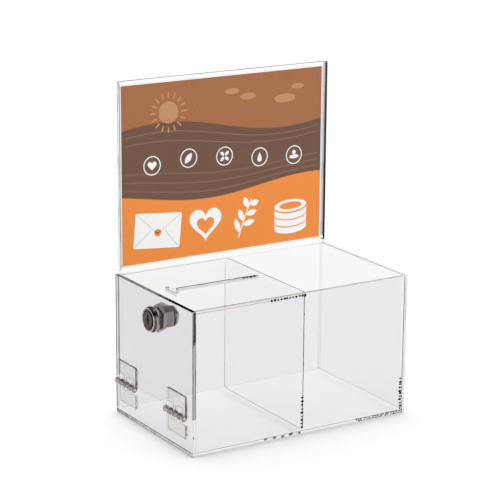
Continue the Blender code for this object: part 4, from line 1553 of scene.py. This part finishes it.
def leaf(root: Sequence[float], length: float, width: float, lean: float) -> np.ndarray:
    """Draw a pointed leaf: half its width is sin(pi s) to the 0.8 along its length.

    Args:
        root: Its root.
        length: Its length.
        width: Its greatest width.
        lean: Its angle from the first axis.

    Returns:
        Points as rows of two.
    """
    s = np.linspace(0, 1, 17)
    half = width / 2 * np.sin(math.pi * s) ** 0.8
    over = np.stack([s * length, half], axis=1)[-2:0:-1]
    loop = np.vstack([np.stack([s * length, -half], axis=1), over])
    return tilted(loop, (0.0, 0.0), lean) + np.asarray(root)


def oval(centre: Sequence[float], across: float, up: float) -> np.ndarray:
    """An upright ellipse."""
    return circle((0, 0), 1, 40) * np.array([across / 2, up / 2]) + np.asarray(centre)


@dataclass
class SignPrint:
    """The print on the card: waves of three inks, a rising sun, and white charity motifs.

    It is drawn in millimetres from the print's lower left corner, across and up.
    """

    nodes: Nodes
    left_mm: float = -136.3
    bottom_mm: float = 176.6
    width_mm: float = 274.5
    height_mm: float = 211.8
    face_mm: float = 86.95
    layer_mm: float = 0.03
    upper: Wave = Wave(154.0, 11.0, 0.85, 0.5)
    lower: Wave = Wave(76.0, 8.0, 0.9, 2.4)
    contour_shares: tuple[float, ...] = (0.1, 0.22, 0.34, 0.76, 0.88)
    contour_width_mm: float = 1.1
    sun_mm: tuple[float, float] = (62.0, 176.0)
    sun_radius_mm: float = 13.0
    ray_mm: tuple[float, float] = (17.0, 24.0)
    ray_width_mm: float = 2.0
    rays: int = 16
    clouds_mm: tuple[tuple[float, float, float], ...] = (
        (148.0, 193.0, 20.0),
        (170.0, 185.0, 22.0),
        (222.0, 178.0, 30.0),
        (240.0, 191.0, 18.0),
    )
    cloud_height_share: float = 0.36
    envelope_mm: tuple[float, float] = (47.0, 37.0)
    envelope_half_mm: tuple[float, float] = (31.0, 21.0)
    envelope_corner_mm: float = 1.5
    envelope_lean: float = math.radians(-5)
    folds_mm: tuple[tuple[tuple[float, float], ...], ...] = (
        ((-29.5, 19.5), (0.0, -3.5), (29.5, 19.5)),
        ((-29.5, -19.5), (-9.0, 1.0)),
        ((29.5, -19.5), (9.0, 1.0)),
    )
    fold_width_mm: float = 1.2
    seal_drop_mm: float = 2.5
    seal_radius_mm: float = 4.6
    heart_mm: tuple[float, float] = (112.0, 36.0)
    heart_width_mm: float = 44.0
    inner_heart_drop_mm: float = 2.0
    inner_heart_width_mm: float = 24.0
    stem_mm: tuple[tuple[float, float], tuple[float, float]] = ((158.0, 14.0), (176.0, 60.0))
    stem_width_mm: float = 1.6
    leaf_lean: float = math.radians(62)
    leaf_spread: float = math.radians(48)
    leaf_gap_mm: float = 1.3
    leaf_length_mm: float = 19.0
    leaf_taper_mm: float = 7.0
    leaf_width_mm: float = 7.5
    leaf_shares: tuple[float, ...] = (0.15, 0.3, 0.45, 0.6, 0.75, 0.9)
    coins_mm: tuple[float, float] = (232.0, 17.0)
    coin_half_mm: float = 23.0
    coin_side_mm: float = 7.5
    coin_pitch_mm: float = 9.0
    coin_top_mm: float = 44.5
    coin_ring_mm: tuple[float, float] = (32.0, 9.0)
    coins: int = 3
    rings_mm: tuple[float, ...] = (40.0, 89.0, 138.0, 187.0, 236.0)
    ring_level_mm: float = 113.0
    ring_swing_mm: float = 6.0
    ring_step: float = 1.1
    ring_start: float = 0.4
    ring_radii_mm: tuple[float, float] = (11.5, 10.2)

    def band(self, low: np.ndarray | float, high: np.ndarray | float) -> np.ndarray:
        """Close a loop between two heights or curves, across the whole print.

        Args:
            low: Its lower rim.
            high: Its upper rim.

        Returns:
            Points as rows of two.
        """
        across = self.shares() * self.width_mm
        under = np.stack([across, np.broadcast_to(low, across.shape)], axis=1)
        over = np.stack([across, np.broadcast_to(high, across.shape)], axis=1)
        return np.vstack([under, over[::-1]])

    def shares(self) -> np.ndarray:
        """Even shares of the print's width, at which its curves are drawn."""
        return np.linspace(0, 1, 61)

    def ink(self, name: str, look: bpy.types.Material, layer: int, shapes: Sequence[tuple]) -> None:
        """Lay one ink as thin plates on the card.

        Args:
            name: The ink's piece name.
            look: Its finish.
            layer: How many layers lie under it.
            shapes: Loops with their holes, in print millimetres.
        """
        surface = Surface()
        back = self.face_mm - layer * self.layer_mm
        origin = np.array([self.left_mm, self.bottom_mm])
        for loops in shapes:
            outer, *holes = ((loop + origin) * MM for loop in loops)
            plate = Plate(outer, (back - self.layer_mm) * MM, back * MM, Axis.Y, tuple(holes))
            plate.add_to(surface)
        surface.piece(name, [look], "card")

    def build(self) -> None:
        """Build the card's finish and every ink."""
        # Clay-coated card is a warm white, and each offset ink dries to a satin film on it
        dress(self.nodes, ("sign_card",), Paper("coated_white_card", "#FBFBFA").build())
        orange = Paper("orange_ink", "#F58F33").build()
        share = self.shares()
        full = rectangle((0, 0), (self.width_mm, self.height_mm))
        upper = self.band(self.upper.height(share), self.height_mm)
        lower = self.band(0.0, self.lower.height(share))
        for name, look, layer, shapes in (
            ("print_brown", Paper("brown_ink", "#6C4936").build(), 0, [(full,)]),
            ("print_tan", Paper("tan_ink", "#A7683B").build(), 1, [(upper,)]),
            ("print_orange", orange, 1, [(lower,)]),
            ("print_lines", Paper("pale_brown_ink", "#8C6A55").build(), 1, self.contours()),
            ("print_sun", Paper("sand_ink", "#C58D5F").build(), 2, self.sun()),
            ("print_white", Paper("white_ink", "#FDFCFA").build(), 2, self.motifs()),
            ("print_grey", Paper("cool_grey_ink", "#D5D8DD").build(), 3, self.folds()),
            ("print_accents", orange, 3, self.accents()),
        ):
            self.ink(name, look, layer, shapes)

    def contours(self) -> list[tuple]:
        """Draw tone-on-tone lines between the two waves, each a mix of both by its share.

        Returns:
            Their loops.
        """
        share = self.shares()
        loops = []
        for part in self.contour_shares:
            up = self.lower.height(share) * (1 - part) + self.upper.height(share) * part
            line = np.stack([share * self.width_mm, up], axis=1)[1:-1]
            loops.append((ribbon(line, self.contour_width_mm),))
        return loops

    def sun(self) -> list[tuple]:
        """Draw a sun with rays, and clouds, over the upper wave.

        Returns:
            Their loops.
        """
        centre = np.array(self.sun_mm)
        loops = [(circle(centre, self.sun_radius_mm, 40),)]
        for turn in np.linspace(0, FULL_TURN, self.rays, endpoint=False):
            way = np.array([math.cos(turn), math.sin(turn)])
            ray = centre + np.outer(np.linspace(*self.ray_mm, 3), way)
            loops.append((ribbon(ray, self.ray_width_mm),))
        for x, y, size in self.clouds_mm:
            loops.append((oval((x, y), size, size * self.cloud_height_share),))
        return loops

    def motifs(self) -> list[tuple]:
        """Draw the white shapes: envelope, heart, sprig and coins below, and five ringed signs above.

        Returns:
            Their loops with holes.
        """
        middle, half = np.array(self.envelope_mm), np.array(self.envelope_half_mm)
        sheet = rectangle(middle - half, middle + half, self.envelope_corner_mm)
        sheet = tilted(sheet, middle, self.envelope_lean)
        shapes: list[tuple] = [(sheet,), (heart(self.heart_mm, self.heart_width_mm),)]
        shapes += self.sprig() + self.coin_stack()
        for number, x in enumerate(self.rings_mm):
            y = self.ring_level_mm + self.ring_swing_mm * math.sin(number * self.ring_step + self.ring_start)
            shapes.append(tuple(circle((x, y), radius) for radius in self.ring_radii_mm))
            shapes.extend(self.sign(number, x, y))
        return shapes

    def sprig(self) -> list[tuple]:
        """Draw a stem that rises as the 0.9 power, with leaves that shorten towards its tip.

        Returns:
            Their loops.
        """
        (x0, y0), (x1, y1) = self.stem_mm
        steps = np.linspace(0, 1, 12)
        stem = np.stack([x0 + (x1 - x0) * steps, y0 + (y1 - y0) * steps**0.9], axis=1)
        shapes = [(ribbon(stem, self.stem_width_mm),)]
        for number, share in enumerate(self.leaf_shares):
            lean = self.leaf_lean + self.leaf_spread * (-1) ** number
            way = np.array([math.cos(lean), math.sin(lean)])
            root = stem[int(share * (len(stem) - 1))] + self.leaf_gap_mm * way
            length = self.leaf_length_mm - self.leaf_taper_mm * share
            shapes.append((leaf(root, length, self.leaf_width_mm, lean),))
        return shapes

    def coin_stack(self) -> list[tuple]:
        """Draw the coins' sides as bands between half ovals, and the top coin's face as an oval.

        Returns:
            Their loops.
        """
        x, base = self.coins_mm
        turn = np.linspace(math.pi, FULL_TURN, 25)
        rise = self.coin_side_mm
        arch = np.stack([x + self.coin_half_mm * np.cos(turn), rise * np.sin(turn)], axis=1)
        shapes = []
        for number in range(self.coins):
            low = arch + [0, base + self.coin_pitch_mm * number]
            shapes.append((np.vstack([low, (low + [0, rise])[::-1]]),))
        return [*shapes, (oval((x, self.coin_top_mm), 2 * self.coin_half_mm, 2 * rise),)]

    def sign(self, number: int, x: float, y: float) -> list[tuple]:
        """Draw the small sign inside one ring: heart, leaf, cross of four petals, drop or hill.

        The drop is 4.4 sin t sin^1.6 (t / 2) across and 6 cos t up.

        Args:
            number: Which ring.
            x: The ring's middle, across.
            y: The ring's middle, up.

        Returns:
            Its loops.
        """
        if number == 0:
            return [(heart((x, y - 0.5), 12),)]
        if number == 1:
            return [(leaf((x - 5, y - 6), 15, 7, math.radians(52)),)]
        if number == 2:
            ways = [math.radians(45 + 90 * turn) for turn in range(4)]
            return [(leaf((x + math.cos(way), y + math.sin(way)), 7, 4.2, way),) for way in ways]
        if number == 3:
            turn = np.linspace(0, FULL_TURN, 32, endpoint=False)
            drop = np.stack([4.4 * np.sin(turn) * np.sin(turn / 2) ** 1.6, 6 * np.cos(turn)], axis=1)
            return [(drop[::-1] + [x, y],)]
        return [(oval((x, y - 2), 13, 5),), (circle((x, y + 3.4), 2.6, 24),)]

    def folds(self) -> list[tuple]:
        """Draw the envelope's grey folds, in from its corners, which are counted from its middle.

        Returns:
            Their loops.
        """
        middle = np.array(self.envelope_mm)
        loops = [ribbon(middle + line, self.fold_width_mm) for line in self.folds_mm]
        return [(tilted(loop, middle, self.envelope_lean),) for loop in loops]

    def accents(self) -> list[tuple]:
        """Draw orange on white: a small heart, the envelope's seal and the top coin's ring.

        Returns:
            Their loops.
        """
        middle = np.array(self.heart_mm) - [0, self.inner_heart_drop_mm]
        inner = heart(middle, self.inner_heart_width_mm)
        seal = circle(np.array(self.envelope_mm) - [0, self.seal_drop_mm], self.seal_radius_mm, 30)
        ring = oval((self.coins_mm[0], self.coin_top_mm), *self.coin_ring_mm)
        return [(inner,), (seal,), (ring,)]


@dataclass(frozen=True)
class ShadeRow:
    """A row of small dark pockets of painted shade from one place to another.

    Each pocket has about the same half size, and is moved by up to half the jitter.
    """

    start_mm: tuple[float, float, float]
    end_mm: tuple[float, float, float]
    count: int
    half_mm: tuple[float, float, float]
    jitter_mm: tuple[float, float, float] = (0.0, 0.0, 0.0)
    thin_mm: float = 0.12
    least_share: float = 0.7
    spread_share: float = 0.6

    def add_to(self, surface: Surface, rng: np.random.Generator) -> None:
        """Add the pockets, evenly spaced, each moved and sized a little at random.

        Args:
            surface: The surface that takes them.
            rng: The source of the random steps.
        """
        start, end, jitter = (np.array(value) for value in (self.start_mm, self.end_mm, self.jitter_mm))
        for share in np.linspace(0, 1, self.count):
            centre = start * (1 - share) + end * share + jitter * (rng.random(3) - 0.5)
            size = np.array(self.half_mm) * (self.least_share + self.spread_share * rng.random(3))
            surface.pebble(centre * MM, np.maximum(size, self.thin_mm) * MM)


@dataclass
class SeamShade:
    """Small black pockets in the joints, which show as black dashes along the seams: painted shade for the
    dark marks that the edges refract there.

    Each joint's rows lie on its seam, and across the seam a pocket is as thin as the joint.
    """

    seed: int = 7
    case_rows: dict[str, list[ShadeRow]] = field(
        default_factory=lambda: {
            "seam_shade_divider": [
                ShadeRow((3.4, -83.84, 6.2), (3.4, -83.84, 42.5), 9, (1.9, 0.1, 1.3), (0.6, 0, 0.8)),
                ShadeRow((4.3, -83.84, 60.0), (4.3, -83.84, 92.0), 5, (0.35, 0.1, 1.6), (0.6, 0, 4.0)),
                ShadeRow((4.4, -83.84, 116.0), (4.4, -83.84, 160.0), 8, (0.45, 0.1, 1.5), (0.6, 0, 3.0)),
            ],
            "seam_shade_floor": [
                ShadeRow((-48.6, -88.61, 2.8), (-2.7, -88.61, 2.8), 5, (2.8, 0.1, 1.3), (3.0, 0, 1.2)),
                ShadeRow((76.0, -88.61, 3.5), (142.0, -88.61, 3.5), 18, (1.5, 0.1, 1.2), (2.0, 0, 0.4)),
                ShadeRow((80.0, -88.61, 1.5), (142.0, -88.61, 1.5), 16, (1.5, 0.1, 0.95), (2.2, 0, 0.4)),
            ],
            "seam_shade_right_end": [
                ShadeRow((138.6, -88.4, 5.9), (138.6, -88.4, 43.0), 11, (1.7, 0.1, 1.3), (1.6, 0, 1.2)),
                ShadeRow((142.9, -88.6, 108.0), (142.9, -88.6, 158.0), 9, (0.45, 0.1, 3.0), (0.3, 0, 1.0)),
            ],
            "seam_shade_strip": [
                ShadeRow((-144.85, 84.5, 5.6), (-144.85, 84.4, 13.0), 3, (0.1, 0.6, 0.9), (0, 0.3, 0.4)),
                ShadeRow((-143.8, -88.6, 22.7), (-143.8, -88.6, 22.8), 2, (0.6, 0.1, 2.0)),
            ],
            "seam_shade_lid": [
                ShadeRow((-42.0, -88.5, 166.1), (2.5, -88.5, 166.1), 12, (1.4, 0.1, 1.6), (1.4, 0, 0.4)),
            ],
        }
    )
    door_shade_marks: ShadeRow = ShadeRow((-144.5, -88.6, 82.0), (-144.5, -88.6, 106.0), 2, (0.5, 0.1, 2.2))
    slot_shade_marks: ShadeRow = ShadeRow(
        (-23.0, 3.0, 167.2), (-8.0, 3.0, 167.2), 4, (2.2, 0.1, 1.1), (1.0, 0, 0.4)
    )

    def build(self) -> None:
        """Build the pockets at the seams where they show most, and the marks beside them."""
        # Each pocket is painted black with hardly a sheen, the shade of the light that the edges refract
        # away
        grain = (3.0, 3.0, 3.0)
        seam_shade_look = CutEdge("painted_seam_shade", "#151211", "#040303", 0.7, 1.0, grain, 0.4, sheen=0.05).build()
        rng = np.random.default_rng(self.seed)
        marks = [(name, rows, "case") for name, rows in self.case_rows.items()]
        marks.append(("door_edge_shade_marks", [self.door_shade_marks], "door"))
        marks.append(("ballot_slot_shade_marks", [self.slot_shade_marks], "case"))
        for name, rows, body in marks:
            surface = Surface()
            for row in rows:
                row.add_to(surface, rng)
            surface.piece(name, [seam_shade_look], body)


@dataclass(frozen=True)
class Lamp:
    """A very soft distant light, whose spread is the angle that its disc fills."""

    name: str
    strength: float
    spread: float
    source: tuple[float, float, float]

    def build(self) -> None:
        """Hang the lamp so that it shines from its source's direction."""
        data = bpy.data.lights.new(self.name, "SUN")
        data.energy = self.strength
        data.angle = self.spread
        lamp = bpy.data.objects.new(self.name, data)
        lamp.rotation_euler = Vector(self.source).to_track_quat("Z", "Y").to_euler()
        bpy.context.scene.collection.objects.link(lamp)


@dataclass
class Studio:
    """Camera, soft light, white world and floor.

    The camera's angles are in degrees. The room's roof is dark from one height of the sky to another, as
    the upright part of a direction.
    """

    azimuth: float = -32.1
    elevation: float = 15.17
    roll: float = 0.45
    distance: float = 2.25797
    target: tuple[float, float, float] = (-0.01629, 0.00003, 0.20047)
    focal_pixels: float = 1958.38
    frame_pixels: float = 500.0
    sensor_mm: float = 36.0
    floor_half: float = 7.0
    floor_drop: float = 0.3 * MM
    floor_tone: str = "#F4F4F4"
    floor_glow: float = 0.145
    world_level: float = 0.85
    zenith_level: float = 0.05
    roof_heights: tuple[float, float] = (0.3, 0.55)
    sheet_faces: int = 40
    lamps: tuple[Lamp, ...] = (
        # One low in front lights the card, and one high behind throws the shadow
        Lamp("front_light", 0.4, math.radians(50), (-0.45, -0.83, 0.34)),
        Lamp("back_light", 0.4, math.radians(60), (0.13, 0.24, 0.96)),
    )

    def build(self) -> None:
        """Build the whole studio, where a look may pass every face of the nested sheets."""
        self.build_camera()
        self.build_world()
        self.build_floor()
        for lamp in self.lamps:
            lamp.build()
        bpy.context.scene.view_settings.view_transform = "Standard"
        bpy.context.scene.cycles.transparent_max_bounces = self.sheet_faces

    def build_camera(self) -> None:
        """Place the camera on a sphere about its target, rolled about its own line of sight."""
        azimuth, elevation, roll = np.radians([self.azimuth, self.elevation, self.roll]).tolist()
        level = math.cos(elevation)
        back = Vector((math.sin(azimuth) * level, -math.cos(azimuth) * level, math.sin(elevation)))
        right = (-back).cross(Vector((0, 0, 1))).normalized()
        up = right.cross(-back)
        turned_right = math.cos(roll) * right + math.sin(roll) * up
        turned_up = -math.sin(roll) * right + math.cos(roll) * up
        data = bpy.data.cameras.new("photo_camera")
        data.sensor_width = self.sensor_mm
        data.lens = self.sensor_mm * self.focal_pixels / self.frame_pixels
        camera = bpy.data.objects.new("photo_camera", data)
        matrix = Matrix((turned_right, turned_up, back)).transposed().to_4x4()
        matrix.translation = Vector(self.target) + self.distance * back
        camera.matrix_world = matrix
        bpy.context.scene.collection.objects.link(camera)
        bpy.context.scene.camera = camera

    def add_sight(self, tree: bpy.types.NodeTree) -> bpy.types.NodeSocket:
        """Add a switch: one where the camera, a reflection or a see-through piece looks, zero for light.

        Args:
            tree: The node tree.

        Returns:
            The switch's level.
        """
        path = add_node(tree, "LightPath")
        rays = {0: path.outputs["Is Camera Ray"], 1: path.outputs["Is Transmission Ray"]}
        first = add_node(tree, "Math", {"operation": "MAXIMUM"}, rays)
        both = {0: first.outputs[0], 1: path.outputs["Is Glossy Ray"]}
        return add_node(tree, "Math", {"operation": "MAXIMUM"}, both).outputs[0]

    def build_world(self) -> None:
        """Build a room that is white where it is seen, and a little less bright as light.

        Where metal mirrors it, its roof is dark.
        """
        world = bpy.data.worlds.new("white_studio")
        bpy.context.scene.world = world
        world.use_nodes = True
        tree = world.node_tree
        tree.nodes.clear()
        levels = {"To Min": self.world_level, "To Max": 1.0}
        level = add_node(tree, "MapRange", levels, {"Value": self.add_sight(tree)})
        way = add_node(tree, "TexCoord")
        height = add_node(tree, "SeparateXYZ", None, {0: way.outputs["Generated"]})
        low, high = self.roof_heights
        fall = {"From Min": low, "From Max": high, "To Min": 1.0, "To Max": self.zenith_level}
        roof = add_node(tree, "MapRange", fall, {"Value": height.outputs["Z"]})
        path = add_node(tree, "LightPath")
        looks = {0: path.outputs["Is Glossy Ray"], 2: level.outputs[0], 3: roof.outputs[0]}
        mirrored = add_node(tree, "Mix", {"data_type": "FLOAT"}, looks)
        room = add_node(tree, "Background", {"Color": WHITE}, {"Strength": mirrored.outputs[0]})
        output = add_node(tree, "OutputWorld")
        tree.links.new(room.outputs[0], output.inputs["Surface"])

    def build_floor(self) -> None:
        """Build a matt pale floor that glows to white where it is seen, and keeps the shadow."""
        material, tree, surface = new_material("pale_floor")
        multiply = {"operation": "MULTIPLY", 1: self.floor_glow}
        glow = add_node(tree, "Math", multiply, {0: self.add_sight(tree)})
        matt = {"Roughness": 1.0, "Specular IOR Level": 0.0, "Emission Color": WHITE}
        matt["Base Color"] = srgb(self.floor_tone)
        skin = add_node(tree, "BsdfPrincipled", matt, {"Emission Strength": glow.outputs[0]})
        tree.links.new(skin.outputs[0], surface)
        side = np.array([-self.floor_half, self.floor_half])
        across, along = np.meshgrid(side, side)
        points = np.stack([across, along, np.full_like(across, -self.floor_drop)], axis=-1)
        mesh = bpy.data.meshes.new("floor")
        mesh.from_pydata(points.reshape(-1, 3).tolist(), [], [(0, 1, 3, 2)])
        mesh.materials.append(material)
        floor = bpy.data.objects.new("floor", mesh)
        bpy.context.scene.collection.objects.link(floor)


def main() -> None:
    """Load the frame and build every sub-assembly in order."""
    logging.basicConfig(level=logging.INFO, format="%(message)s")
    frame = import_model()
    shop = AcrylicShop()
    Studio().build()
    Case(shop).build()
    Door(shop).build()
    Hinges(frame["nodes"]).build()
    Lock(frame["nodes"]).build()
    Holder(shop).build()
    SignPrint(frame["nodes"]).build()
    SeamShade().build()


if __name__ == "__main__":
    main()
